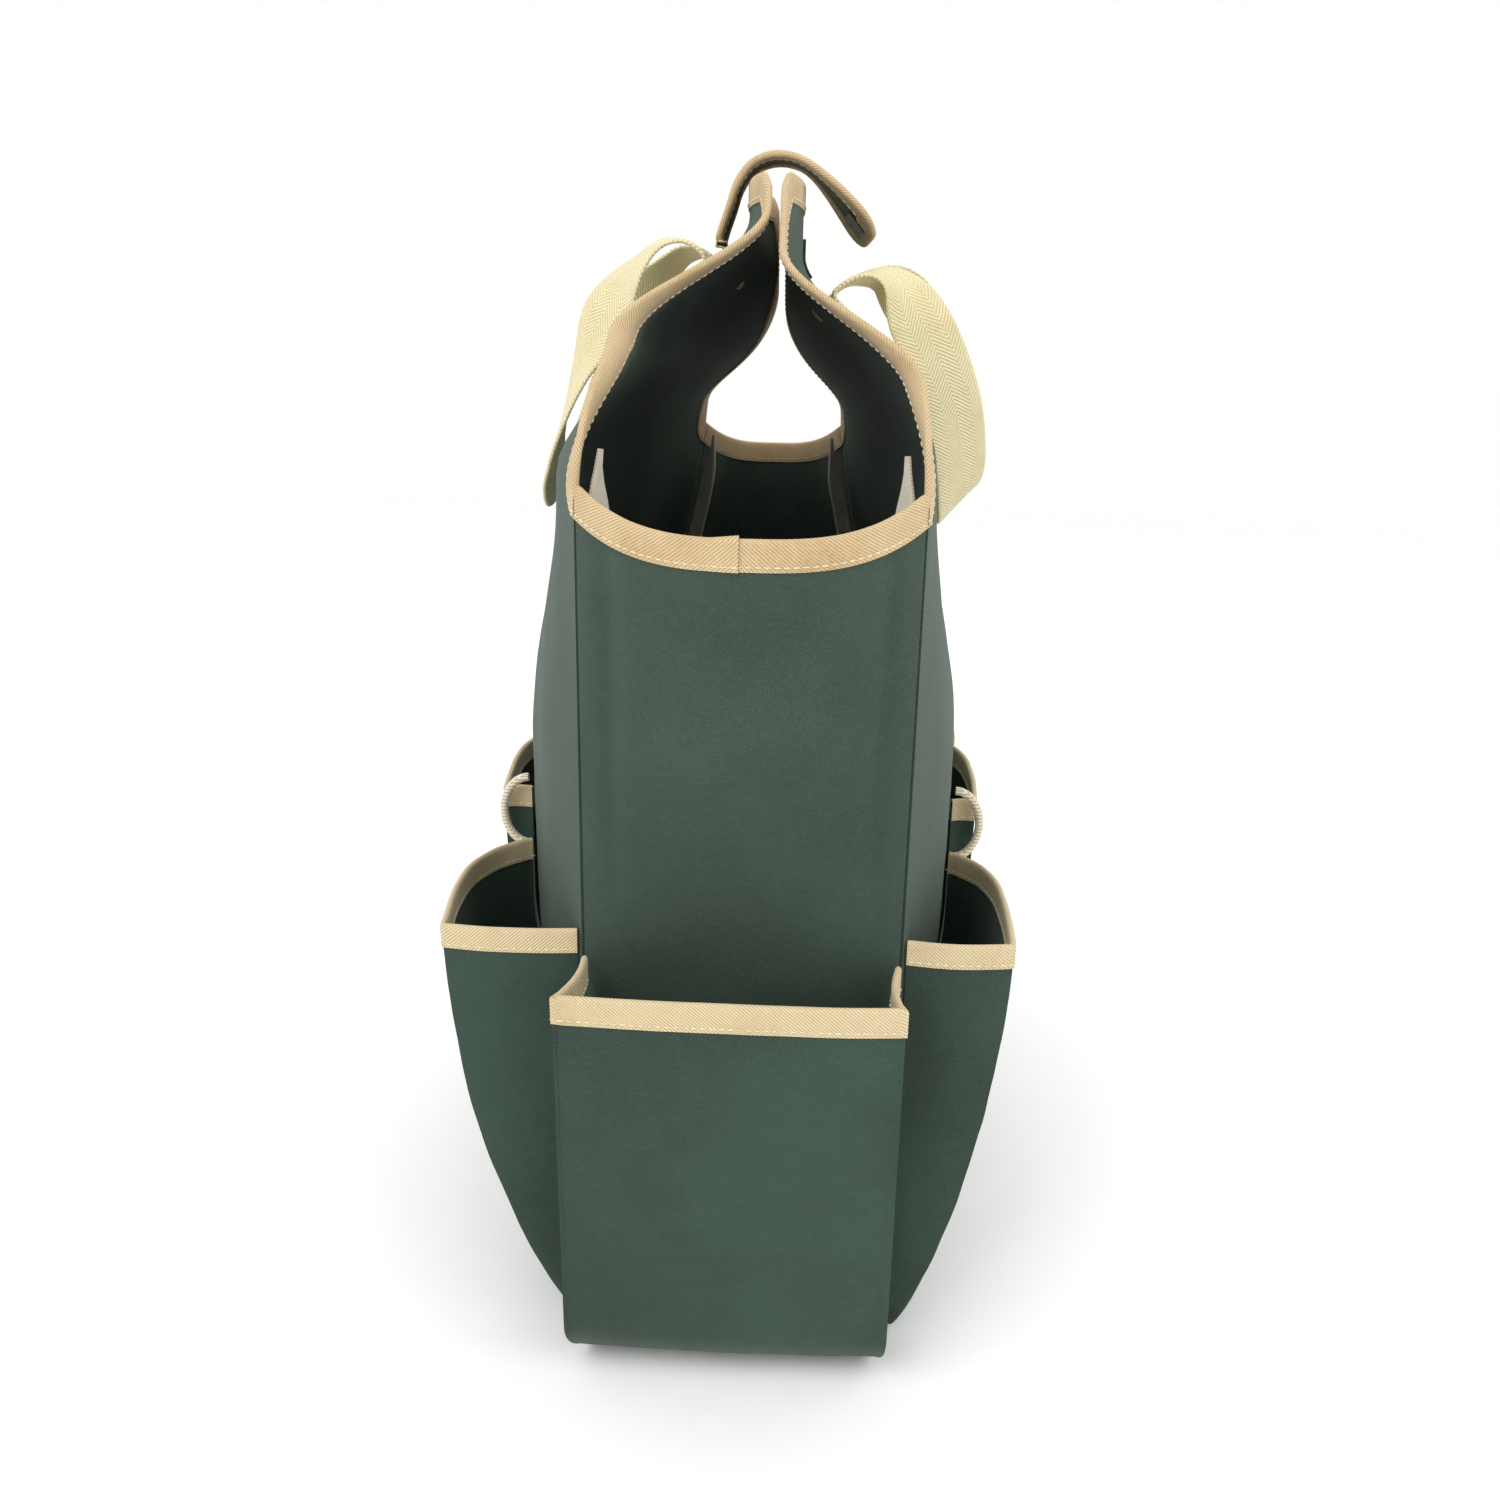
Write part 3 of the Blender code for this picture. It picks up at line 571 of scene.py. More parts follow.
def braid(name, light, dark):
    """Braided elastic: two crossing sets of slanting strands."""
    made = Nodes(name, 0.75, 0.2)
    place = made.node("TexCoord").outputs["Object"]
    _, across, up = made.axes(place)
    left = made.wave(up, across, 0.0018, 0.0016)
    right = made.wave(up, across, 0.0018, -0.0016)
    height = made.math("MAXIMUM", left, right)
    grain = made.noise(place, 500.0, 2.0)
    made.finish("Base Color", made.mix(made.spread(height, 0.3, 0.95), dark, light))
    made.bump(made.math("ADD", height, made.math("MULTIPLY", grain, 0.3)), 0.8, 0.0003)
    return made.material


CANVAS = fabric("canvas", colour(55, 72, 62), colour(45, 60, 52), colour(88, 104, 90), 0.0013)
POCKET_CANVAS = fabric("pocket_canvas", colour(50, 70, 60), colour(38, 54, 46), colour(78, 96, 84),
                       0.0013)
MOUTH_TAPE = narrow_fabric("binding_tape", colour(214, 190, 150), colour(150, 124, 86),
                           colour(190, 160, 116), 0.0017, 0.00035)
POCKET_TAPE = narrow_fabric("pocket_tape", colour(220, 202, 164), colour(160, 138, 100),
                            colour(200, 178, 138), 0.0017, 0.00035)
STRAP = narrow_fabric("webbing", colour(233, 222, 182), colour(182, 168, 120),
                      colour(216, 200, 152), 0.0021, 0.0005, chevron=0.007)
SEAM = narrow_fabric("seam_binding", colour(228, 222, 208), colour(176, 168, 150),
                     colour(206, 198, 178), 0.0014, 0.0003)
THREAD = plain("sewing_thread", colour(236, 222, 190), colour(196, 178, 140), 900.0, 0.7, 0.0001, 0.2)
ELASTIC = braid("elastic_cord", colour(236, 226, 204), colour(188, 172, 142))
STIFFENER = plain("stiffener", colour(66, 68, 66), colour(46, 48, 47), 220.0, 0.55, 0.0002)
HOOKS = plain("hook_and_loop", colour(62, 74, 64), colour(34, 42, 36), 900.0, 0.95, 0.0012, 0.3)
FLOOR = plain("floor", (0.93, 0.93, 0.92, 1.0), (0.92, 0.92, 0.91, 1.0), 40.0, 0.7, 0.00005)


# Surfaces of the bag

def half_width(y, z):
    """Half the width of the body at its seams, drawn in towards the far end."""
    high = smooth((z - PINCH_FROM) / (RIM_Z - PINCH_FROM))
    drawn = LOW_PINCH * smooth(z / BELLY_FROM) + FAR_PINCH * high
    return HALF_WIDTH - drawn * smooth((y + HALF_LENGTH) / (2 * HALF_LENGTH))


def midway(y):
    """1 at the middle of the length, falling to 0 at both ends."""
    return 1.0 - np.minimum(1.0, np.abs(y) / HALF_LENGTH) ** 2


def rim_height(shares):
    return RIM_Z - RIM_DIP * (1 - np.abs(shares) ** RIM_POWER)


def side_x(side, y, z):
    """Across from the middle plane to a long side's cloth, up to the rim."""
    upper = smooth((z - UPPER_FROM) / (RIM_Z - UPPER_FROM))
    belly = smooth(z / BELLY_FROM) * (BELLY[side] * (1 - upper) + RIM_BELLY[side] * upper)
    return side * (half_width(y, z) + belly * midway(y))


def flap_half_length(z):
    t = (z - RIM_Z) / (TOP_Z - RIM_Z)
    reach = HALF_LENGTH - (HALF_LENGTH - TOP_HALF_LENGTH) * smooth((t - 0.07) / 0.97)
    into = np.clip(z - (TOP_Z - TOP_ROUND), 0.0, TOP_ROUND)
    return reach - (TOP_ROUND - np.sqrt(TOP_ROUND**2 - into**2))


def flap_x(side, y, z):
    t = (z - RIM_Z) / (TOP_Z - RIM_Z)
    early = FAR_LEAN[side] * smooth(y / HALF_LENGTH)
    lean = smooth((t - LEAN_START[side] + early) / LEAN_SPAN[side])
    closing = smooth(t / BELLY_FADE)
    depth = np.maximum(0.0, flap_half_length(z) - np.abs(y)) / HOLLOW_REACH
    hollow = EDGE_HOLLOW * depth * np.exp(1.0 - depth)
    drawn = RIM_BELLY[side] * midway(y) + FLAP_TAPER[side] + hollow
    upright = side_x(side, y, RIM_Z) - side * closing * drawn
    spread = TOP_SPREAD[side] * np.maximum(0.0, 1.0 - (y / TOP_HALF_LENGTH) ** 2)
    top = side * (TOP_HALF_GAP + spread) + TOP_SHIFT
    return upright * (1 - lean) + top * lean


def side_surface(side):
    def at(y, z):
        y, z = np.broadcast_arrays(np.asarray(y, float), np.asarray(z, float))
        body = side_x(side, y, np.minimum(z, RIM_Z))
        x = np.where(z < RIM_Z, body, flap_x(side, y, np.maximum(z, RIM_Z)))
        return np.stack([x, y, z], axis=-1)
    return at


def end_surface(end):
    def at(share, z):
        share, z = np.broadcast_arrays(np.asarray(share, float), np.asarray(z, float))
        width = half_width(end * HALF_LENGTH, z) - SEAM_TUCK
        high = smooth((z - END_BOW_FROM) / (RIM_Z - END_BOW_FROM))
        bow = LOW_BOW * smooth(z / LOW_BOW_OVER) + END_BOW[end] * high
        y = end * (HALF_LENGTH + bow * (1 - np.abs(share) ** BOW_POWER))
        return np.stack([share * width, y, z], axis=-1)
    return at


def slopes(surface, a, b):
    """How the surface's point moves with each of its two measures."""
    step = 2e-4
    by_a = (surface(a + step, b) - surface(a - step, b)) / (2 * step)
    by_b = (surface(a, b + step) - surface(a, b - step)) / (2 * step)
    return by_a, by_b


def outward(surface, a, b, away):
    by_a, by_b = slopes(surface, a, b)
    normal = unit(np.cross(by_a, by_b))
    return normal * np.where(np.sum(normal * away, axis=-1, keepdims=True) < 0, -1.0, 1.0)


def edge_stations(surface, line, away, inside):
    """Tape stations along a line in the surface's measures.

    away points to the outer side, and inside is a point that the tape reaches towards.
    """
    line = np.asarray(line, float)
    points = surface(line[:, 0], line[:, 1])
    by_a, by_b = slopes(surface, line[:, 0], line[:, 1])
    normal = outward(surface, line[:, 0], line[:, 1], away)
    inward = unit(np.cross(normal, np.gradient(points, axis=0)))
    inward *= np.where(np.sum(inward * (inside - points), axis=1).mean() < 0, -1.0, 1.0)
    aa, ab, bb = (np.sum(p * q, axis=1) for p, q in ((by_a, by_a), (by_a, by_b), (by_b, by_b)))
    pa, pb = np.sum(by_a * inward, axis=1), np.sum(by_b * inward, axis=1)
    det = aa * bb - ab * ab
    step = np.stack([(bb * pa - ab * pb) / det, (aa * pb - ab * pa) / det], axis=1)
    return stations_from(surface, line, step, away, -inward)


def stations_from(surface, line, step, away, outs):
    """Tape stations that go in from the line by the given step for each metre of depth."""
    legs, normals = [], []
    for depth in TAPE_SHARES * MOUTH_DEPTH:
        spot = line + step * depth
        legs.append(surface(spot[:, 0], spot[:, 1]))
        normals.append(outward(surface, spot[:, 0], spot[:, 1], away))
    return np.stack(legs, axis=1), np.stack(normals, axis=1), outs


def row_stations(grid, away, depth):
    """Tape stations along a grid's last row."""
    normals = grid_normals(grid)
    normals *= np.where(np.sum(normals * away, axis=-1).mean() < 0, -1.0, 1.0)
    down = grid[::-1]
    runs = lengths_along(down)
    depths = TAPE_SHARES * depth
    legs = np.empty((grid.shape[1], len(depths), 3))
    ways = np.empty_like(legs)
    for j in range(grid.shape[1]):
        for k in range(3):
            legs[j, :, k] = np.interp(depths, runs[:, j], down[:, j, k])
            ways[j, :, k] = np.interp(depths, runs[:, j], normals[::-1][:, j, k])
    return legs, unit(ways), unit(legs[:, 0] - legs[:, 1])


# Camera and cords

def make_camera():
    sy, cy = math.sin(CAMERA_YAW), math.cos(CAMERA_YAW)
    sp, cp = math.sin(CAMERA_PITCH), math.cos(CAMERA_PITCH)
    level, across = np.array((sy, cy, 0.0)), np.array((cy, -sy, 0.0))
    ahead = level * cp - np.array((0, 0, 1.0)) * sp
    up = level * sp + np.array((0, 0, 1.0)) * cp
    right = across * math.cos(CAMERA_ROLL) + up * math.sin(CAMERA_ROLL)
    upward = -across * math.sin(CAMERA_ROLL) + up * math.cos(CAMERA_ROLL)
    data = bpy.data.cameras.new("camera")
    data.lens = CAMERA_LENS
    data.sensor_width = 36.0
    made = linked("camera", data)
    columns = Matrix((right, upward, -ahead)).transposed().to_4x4()
    made.matrix_world = Matrix.Translation(CAMERA_AT) @ columns
    bpy.context.scene.camera = made


def make_tool_loop(side):
    """Elastic cord that stands off the side panel in a loop and goes back into it."""
    points = []
    for step in range(25):
        turn = math.pi * step / 24
        z = LOOP_LOW_Z + 0.5 * LOOP_SPAN * (1 - math.cos(turn))
        root = abs(float(side_x(side, LOOP_Y, z))) + CLOTH / 2 + LOOP_RADIUS + 0.0006
        points.append((side * (root + LOOP_STAND * math.sin(turn)), LOOP_Y, z))
    name = f"{SIDES[side]}_elastic_loop"
    route = bpy.data.curves.new(name, "CURVE")
    route.dimensions = "3D"
    line = route.splines.new("POLY")
    line.points.add(len(points) - 1)
    for target, point in zip(line.points, points):
        target.co = (*point, 1.0)
    route.bevel_depth = LOOP_RADIUS
    route.bevel_resolution = 4
    route.use_fill_caps = True
    route.materials.append(ELASTIC)
    made = linked(name, route)
    settle(made, "elastic_cord", f"{SIDES[side]}_tool_loop")


make_camera()
for side in (-1, 1):
    make_tool_loop(side)


# Body cloth

def body_blend(piece):
    """Bakes the piece's placement into its mesh."""
    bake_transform(piece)


def side_grid(side):
    low = np.linspace(WALL_BOTTOM, RIM_Z, 46)
    high = RIM_Z + (TOP_Z - RIM_Z) * np.sin(np.linspace(0, 1, 34)[1:] * math.pi / 2)
    heights = np.concatenate([low, high])
    shares = np.linspace(-1, 1, 61)
    flap_reach = flap_half_length(np.maximum(heights, RIM_Z))
    reach = np.where(heights < RIM_Z, HALF_LENGTH - SEAM_TUCK, flap_reach)
    grid = side_surface(side)(shares[None, :] * reach[:, None], heights[:, None])
    fade = smooth((1 - np.abs(shares)) / 0.22)[None, :] * smooth((TOP_Z - heights) / 0.05)[:, None]
    grid[..., 0] += side * cloth_ripple(grid, SIDE_RIPPLE, 3.1 * side, 7.7 * side) * fade
    return grid


def make_side_cloth(side):
    piece = sheet(f"{SIDES[side]}_side_cloth", side_grid(side), CLOTH, CANVAS)
    body_blend(piece)
    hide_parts(f"{SIDES[side]}_side_panel", f"{SIDES[side]}_flap")


def end_grid(end):
    shares = crowded(45, END_CROWDING)
    rim = rim_height(shares)
    rows = np.linspace(0, 1, 60)[:, None]
    heights = WALL_BOTTOM + rows * (rim - WALL_BOTTOM)[None, :]
    grid = end_surface(end)(shares[None, :] + 0 * heights, heights)
    fade = smooth((1 - np.abs(shares)) / 0.3)[None, :] * smooth((1 - rows) / 0.12)
    wave = cloth_ripple(grid, END_RIPPLE, 5.3 + end, 1.9)
    valley = np.exp(-(((np.abs(shares) - END_CREASE_AT) / END_CREASE_WIDTH) ** 2))
    crease = valley[None, :] * smooth((heights - END_CREASE_FROM) / END_CREASE_FADE)
    grid[..., 1] += end * (wave * fade - END_CREASE * crease * smooth((1 - rows) / END_CREASE_FADE))
    return grid


def make_end_cloth(end):
    piece = sheet(f"{ENDS[end]}_end_cloth", end_grid(end), CLOTH, CANVAS)
    settle(piece, "canvas", f"{ENDS[end]}_end_panel")


def rim_stations(end, shares):
    shares = np.asarray(shares, float)
    line = np.stack([shares, rim_height(shares)], axis=1)
    inside = np.array((0, end * HALF_LENGTH, 0.2))
    return edge_stations(end_surface(end), line, end * LENGTHWAYS, inside)


def corner_stations(side, end, last_way):
    """The tape turns from the end's rim round the corner seam and up the flap's sloping edge."""
    surface = side_surface(side)
    spot = np.array([[end * HALF_LENGTH, RIM_Z - 1e-5]])
    away = side * SIDEWAYS
    found = []
    for angle in np.linspace(0, last_way, 7):
        step = np.array([[-end * math.sin(angle), -math.cos(angle)]])
        out = np.array([[0, end * math.sin(angle), math.cos(angle)]])
        found.append(stations_from(surface, spot, step, away, out))
    legs, normals, outs = (np.concatenate([item[k] for item in found]) for k in range(3))
    for index, share in ((0, 0.45), (1, 0.8)):
        normals[index] = unit(normals[index] * share + end * LENGTHWAYS * (1 - share))
    return legs, normals, unit(outs)


def flap_outline(side, spacing):
    """(Y, Z) up the flap's near edge, along its top and down its far edge, evenly spaced."""
    rise = np.linspace(0, 1, 140)
    z = RIM_Z + 0.0015 + (TOP_Z - RIM_Z - 0.0015) * np.sin(rise * math.pi / 2)
    near = np.stack([-flap_half_length(z), z], axis=1)
    across = np.linspace(near[-1, 0], -near[-1, 0], 60)[1:-1]
    top = np.stack([across, np.full_like(across, TOP_Z)], axis=1)
    far = near[::-1] * (-1, 1)
    line = np.concatenate([near, top, far])
    points = side_surface(side)(line[:, 0], line[:, 1])
    along = lengths_along(points)
    return read_off(np.linspace(0, along[-1], int(along[-1] / spacing)), along, line)


def make_mouth_tape(side):
    """One folded tape: half of the near rim, up and over the flap, and half of the far rim."""
    outline = flap_outline(side, STATION)
    inside = np.array((side * 0.03, 0, 0.42))
    flap = edge_stations(side_surface(side), outline, side * SIDEWAYS, inside)
    meet = {-1: -0.045 if side < 0 else -0.125, 1: 0.0}
    runs = []
    for end in (-1, 1):
        shares = np.linspace(meet[end], side * 0.985, 30)
        rim = rim_stations(end, shares)
        turn = corner_stations(side, end, math.radians(80))
        runs.append([np.concatenate([rim[k], turn[k]]) for k in range(3)])
    near, far = runs
    legs, normals, outs = (np.concatenate([near[k], flap[k], far[k][::-1]]) for k in range(3))
    lift = np.zeros(len(legs))
    if side < 0:
        lift[:6] = np.linspace(0.0012, 0.0, 6)
    build = Build()
    build.tape(legs, normals, outs, CLOTH, lift)
    name = SIDES[side]
    piece = build.make(f"{name}_mouth_tape", MOUTH_TAPE, THREAD)
    body_blend(piece)
    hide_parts(f"{name}_flap_binding", *(["near_rim_binding"] if side < 0 else ["far_rim_binding"]))


def make_corner_binding(side, end):
    """The bound seam allowance standing in from a corner seam, inside the bag."""
    inward = np.array((-side, -end, 0.0)) / math.sqrt(2)
    heights = np.linspace(FIN_BOTTOM, FIN_TOP[end], FIN_ROWS)
    reach = flap_half_length(np.maximum(heights, RIM_Z))
    width = np.abs(side_surface(side)(end * reach, heights)[:, 0])
    corner = np.stack([side * (width - FIN_CLEAR), end * (reach - FIN_INSET), heights], axis=1)
    centres = corner + inward * FIN_WIDTH / 2
    sway = ripple(centres * (0.2, 0.2, 1), 60.0, side + 3 * end) * FIN_SWAY
    sideways = np.cross(inward, (0, 0, 1.0))[None, :]
    across = np.tile(inward, (FIN_ROWS, 1)) + sideways * sway[:, None] * FIN_SWAY_TILT
    narrow = 1 - FIN_NARROWING * smooth((heights - FIN_TOP[end] + FIN_POINT) / FIN_POINT)
    build = Build()
    sides, normal = build.ribbon(centres, across, FIN_WIDTH * narrow[:, None, None], FIN_THICKNESS)
    line = (centres - sides * FIN_WIDTH * FIN_STITCH_AT)[:FIN_STITCHED]
    for face in (-1, 1):
        ups = normal[:FIN_STITCHED] * face
        build.stitches(line + ups * FIN_THICKNESS / 2, ups)
    name = f"{SIDES[side]}_{ENDS[end]}"
    piece = build.make(f"{name}_seam_tape", SEAM, THREAD)
    settle(piece, "seam_binding", f"{name}_corner_binding")


def rounded_sheet(half_x, half_y, radius):
    """A flat grid with rounded corners."""
    a, b = np.meshgrid(np.linspace(-1, 1, 40), np.linspace(-1, 1, 40))
    x, y = a * half_x, b * half_y
    over_x, over_y = np.abs(x) - (half_x - radius), np.abs(y) - (half_y - radius)
    both = (over_x > 0) & (over_y > 0)
    reach = np.maximum(over_x, over_y) / np.maximum(np.hypot(over_x, over_y), 1e-9)
    x = np.where(both, np.sign(x) * (half_x - radius + over_x * reach), x)
    y = np.where(both, np.sign(y) * (half_y - radius + over_y * reach), y)
    return x, y


def make_base():
    x, y = rounded_sheet(HALF_WIDTH + 0.001, HALF_LENGTH + 0.001, 0.010)
    grid = np.stack([x, y, np.full_like(x, BASE_THICKNESS / 2)], axis=-1)
    settle(sheet("base_cloth", grid, BASE_THICKNESS, CANVAS), "canvas", "base_panel")
    x, y = rounded_sheet(HALF_WIDTH - BOARD_MARGIN, HALF_LENGTH - BOARD_MARGIN, 0.008)
    height = BASE_THICKNESS + 0.0004 + BOARD_THICKNESS / 2
    grid = np.stack([x, y, np.full_like(x, height)], axis=-1)
    settle(sheet("base_stiffener", grid, BOARD_THICKNESS, STIFFENER), "stiffener", "base_board")


# Pockets

def reach_at(z, rim, curve):
    """How far out a side pocket's front has come at a height, from 0 to 1 at its rim."""
    return np.sin(0.5 * math.pi * np.minimum(1.0, z / rim)) ** curve


def finish_pocket(name, grid, away, depth):
    settle(sheet(f"{name}_cloth", grid, POCKET_CLOTH, POCKET_CANVAS), "pocket_canvas", name)
    build = Build()
    legs, normals, outs = row_stations(grid, away, depth)
    build.tape(legs, normals, outs, POCKET_CLOTH)
    settle(build.make(f"{name}_tape", POCKET_TAPE, THREAD), "binding_tape", f"{name}_binding")


def pocket_fade(count, rim_span):
    """How strongly each row ripples: not at the foot, and less at the rim."""
    steps = np.linspace(0, 1, count)[:, None]
    return smooth(steps / 0.25) * (0.45 + 0.55 * smooth((1 - steps) / rim_span))


def pocket_rows(rim):
    """Heights of a pocket's rows, closer together at the bottom."""
    return POCKET_BOTTOM + (rim - POCKET_BOTTOM) * np.linspace(0, 1, 44) ** 1.6


def make_end_pocket(end):
    rows = []
    heights = pocket_rows(END_POCKET_Z)
    gusset = np.linspace(0, 1, GUSSET_POINTS)
    front = crowded(49, END_POCKET_CROWDING)
    welt = END_POCKET_WELT * (np.abs(front) > 0.9999)
    for index, z in enumerate([heights[0], *heights]):
        full = 0.0 if index == 0 else math.sqrt(1 - (1 - min(1.0, z / END_POCKET_ROUND)) ** 2)
        reach = full * (END_POCKET_LOW + (1 - END_POCKET_LOW) * z / END_POCKET_Z)
        up = smooth(z / END_POCKET_Z)
        root_y = HALF_LENGTH + LOW_BOW + POCKET_INSET
        front_y = HALF_LENGTH + max(0.0030, END_POCKET_OUT * reach)
        root_y = min(root_y, front_y - 0.0015)
        width = float(half_width(end * HALF_LENGTH, z))
        root_x = width - 0.001 - 0.5 * END_POCKET_DRAW * (1 - full)
        front_x = width + END_POCKET_WIDER - END_POCKET_DRAW * (1 - full)
        shift = END_POCKET_SHIFT * reach
        slack = END_POCKET_SLACK * up * np.sin(math.pi * gusset)
        x = root_x + (front_x - root_x) * gusset - slack
        y = root_y + (front_y - root_y) * gusset
        belly = END_POCKET_BELLY * reach * (1 - front**2) ** 0.8
        left = list(zip(shift * gusset - x, y))
        right = list(zip(shift * gusset + x, y))[::-1]
        front_xs = shift + front * front_x + np.sign(front) * welt * full
        middle = list(zip(front_xs, front_y + belly + welt * full))
        rows.append([(a, end * b, z) for a, b in left[:-1] + middle + right[1:]])
    grid = np.array(rows)
    fade = pocket_fade(len(grid), 0.1)
    grid[..., 1] += end * cloth_ripple(grid, END_POCKET_RIPPLE, 9.4 * end, 2.2) * fade
    name = f"{ENDS[end]}_end_pocket"
    finish_pocket(name, grid, end * LENGTHWAYS, END_POCKET_DEPTH)


def pocket_path(last):
    """(share along, share out) from the near gusset's root, along the front and back to the side."""
    gusset = [(0.0, out) for out in np.linspace(0, 1, GUSSET_POINTS)]
    if last:
        front = curve_through([(0, 1), (0.3, 1), (0.65, 0.985), (1, 0.95)], 10)[1:]
        back = [(1.0, out) for out in np.linspace(0.95, 0, GUSSET_POINTS)[1:]]
        return np.array(gusset + [tuple(p) for p in front] + back)
    bends = [(0, 1), (0.22, 1), (0.45, 1), (0.68, 0.97), (0.86, 0.74), (0.97, 0.28), (1, 0.05)]
    return np.array(gusset + [tuple(p) for p in curve_through(bends, 5)[1:]])


def make_side_pocket(side, place):
    near = SIDE_POCKET_Y[place] + 0.0012
    span = SIDE_POCKET_Y[place + 1] - SIDE_POCKET_END_GAP[place] - near
    rim, last = SIDE_POCKET_Z[place], place == 2
    path = pocket_path(last)
    share, out = path[:, 0], path[:, 1]
    rows = []
    heights = pocket_rows(rim)
    for index, z in enumerate([heights[0], *heights]):
        reach = float(reach_at(z, rim, SIDE_POCKET_CURVE[side]))
        y = near + span * share
        root = np.abs(side_x(side, y, z)) + POCKET_INSET
        front = SIDE_POCKET_X[side][place] + SIDE_POCKET_SWELL[side] * np.sin(math.pi * share)
        front = front - (LAST_POCKET_DRAW * smooth(share) if last else 0.0)
        if index == 0:
            x, y = root + 0.001 * out - 0.0012, y + 0.002 * (1 - 2 * share)
        else:
            x = root + np.maximum(SIDE_POCKET_LEAST, (front - root) * reach) * out
        swing = np.sin(math.pi * np.minimum(1, out)) * (share < 1e-6) * smooth(z / rim)
        y = y - swing * (0.0022 if place == 0 else -0.0010)
        rows.append(np.stack([side * x, y, np.full_like(x, z)], axis=1))
    grid = np.array(rows)
    fade = pocket_fade(len(grid), 0.08) * smooth(out / 0.3)[None, :]
    wave = cloth_ripple(grid, SIDE_POCKET_RIPPLE, 4.1 * side + place, 5.0)
    grid += grid_normals(grid) * (wave * fade)[..., None]
    name = f"{SIDES[side]}_pocket_{place + 1}"
    finish_pocket(name, grid, side * SIDEWAYS, SIDE_POCKET_DEPTH)


# Handles and tab

def make_handle(side):
    """One length of webbing: sewn tail, arch, hanging loop, arch and sewn tail."""
    surface = side_surface(side)
    away = side * SIDEWAYS
    lift = CLOTH / 2 + TAPE_GAP + WEBBING / 2 + 0.0003
    heights = np.linspace(*TAIL_Z[side], TAIL_POINTS)

    def tail(end):
        y = np.full(TAIL_POINTS, end * HANDLE_Y)
        return surface(y, heights) + outward(surface, y, heights, away) * lift

    def slant(end):
        """How the cloth under a tail lies along Y."""
        y = np.full(TAIL_POINTS, end * HANDLE_Y)
        return unit(surface(y + SLANT_STEP, heights) - surface(y - SLANT_STEP, heights))

    arch = {end: [(x, end * HANDLE_Y, z) for x, z in HANDLE_ARCH[side]] for end in (-1, 1)}
    near = [(x, -y, z) for x, z, y in HANDLE_NEAR[side]]
    far = [(x, y, z) for x, z, y in HANDLE_FAR[side]]
    low_x, low_z, low_y = HANDLE_LOW[side]
    free = [*arch[-1], *near, (low_x, low_y, low_z), *far[::-1], *arch[1][::-1]]
    knots = [*tail(-1)[::4], *free, *tail(1)[::-4]]
    route = resample(curve_through(knots, 8), STATION)
    run = lengths_along(route)
    from_end = np.minimum(run, run[-1] - run)
    sewn = TAIL_Z[side][1] - TAIL_Z[side][0]
    turn = smooth((from_end - (sewn + TURN_FROM)) / TURN_OVER)[:, None]
    sense = np.where(run < run[-1] / 2, 1.0, -1.0)[:, None]
    down_tail = np.linspace(0, sewn, TAIL_POINTS)
    flat = np.where(run[:, None] < run[-1] / 2, read_off(run, down_tail, slant(-1)),
                    read_off(run[-1] - run, down_tail, slant(1)))
    lifted = smooth((from_end - sewn) / LEVEL_OVER)[:, None]
    flat = flat * (1 - lifted) + LENGTHWAYS * lifted
    across = flat * sense * (1 - turn) + np.array(HANDLE_FACE[side]) * turn
    build = Build()
    across, normal = build.ribbon(route, across, WEBBING_WIDTH, WEBBING)
    low, high, half = BOX_STITCH
    box = ((low, -half), (low, half), (high, half), (high, -half), (low, -half), (high, half),
           (high, -half), (low, half))
    for start in (0, 1):
        outer_face = np.sign(np.sum(normal[3 if start == 0 else -4] * away))
        for first, second in zip(box, box[1:]):
            shares = np.linspace(0, 1, 12)
            along = first[0] + (second[0] - first[0]) * shares
            wide = (first[1] + (second[1] - first[1]) * shares) * WEBBING_WIDTH
            places = along if start == 0 else run[-1] - along
            spots = read_off(places, run, route) + read_off(places, run, across) * wide[:, None]
            ups = read_off(places, run, normal) * outer_face
            build.stitches(spots + ups * WEBBING / 2, ups)
    name = SIDES[side]
    piece = build.make(f"{name}_webbing_handle", STRAP, THREAD)
    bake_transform(piece)
    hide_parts(f"{name}_handle", f"{name}_handle_near_tail", f"{name}_handle_far_tail")


def tab_surface():
    """The strap's middle layer by length from its root and by Y, and its whole length."""
    surface = side_surface(-1)
    heights = np.linspace(*TAB_ANCHOR_Z, 5)
    away = -SIDEWAYS
    lift = CLOTH + TAPE_GAP + 0.0006
    root = surface(np.zeros(5), heights) + outward(surface, np.zeros(5), heights, away) * lift
    route = curve_through([*root[::2], *[(x, 0, z) for x, z in TAB_ROUTE]], 10)
    run = lengths_along(route)

    def at(s, y):
        s, y = np.broadcast_arrays(np.asarray(s, float), np.asarray(y, float))
        s = np.clip(s, -1.0, run[-1] + 1.0)
        x, z = np.interp(s, run, route[:, 0]), np.interp(s, run, route[:, 2])
        beyond = np.maximum(0.0, s - run[-1])
        tip = unit(route[-1] - route[-2])
        before = np.minimum(0.0, s)
        foot = unit(route[1] - route[0])
        x = x + beyond * tip[0] + before * foot[0]
        z = z + beyond * tip[2] + before * foot[2]
        turn = smooth((x - TAB_TWIST_FROM) / (TAB_ROUTE[-1][0] - TAB_TWIST_FROM))
        return np.stack([x + y * TAB_TWIST[0] * turn, y, z + y * TAB_TWIST[1] * turn], axis=-1)
    return at, run[-1]


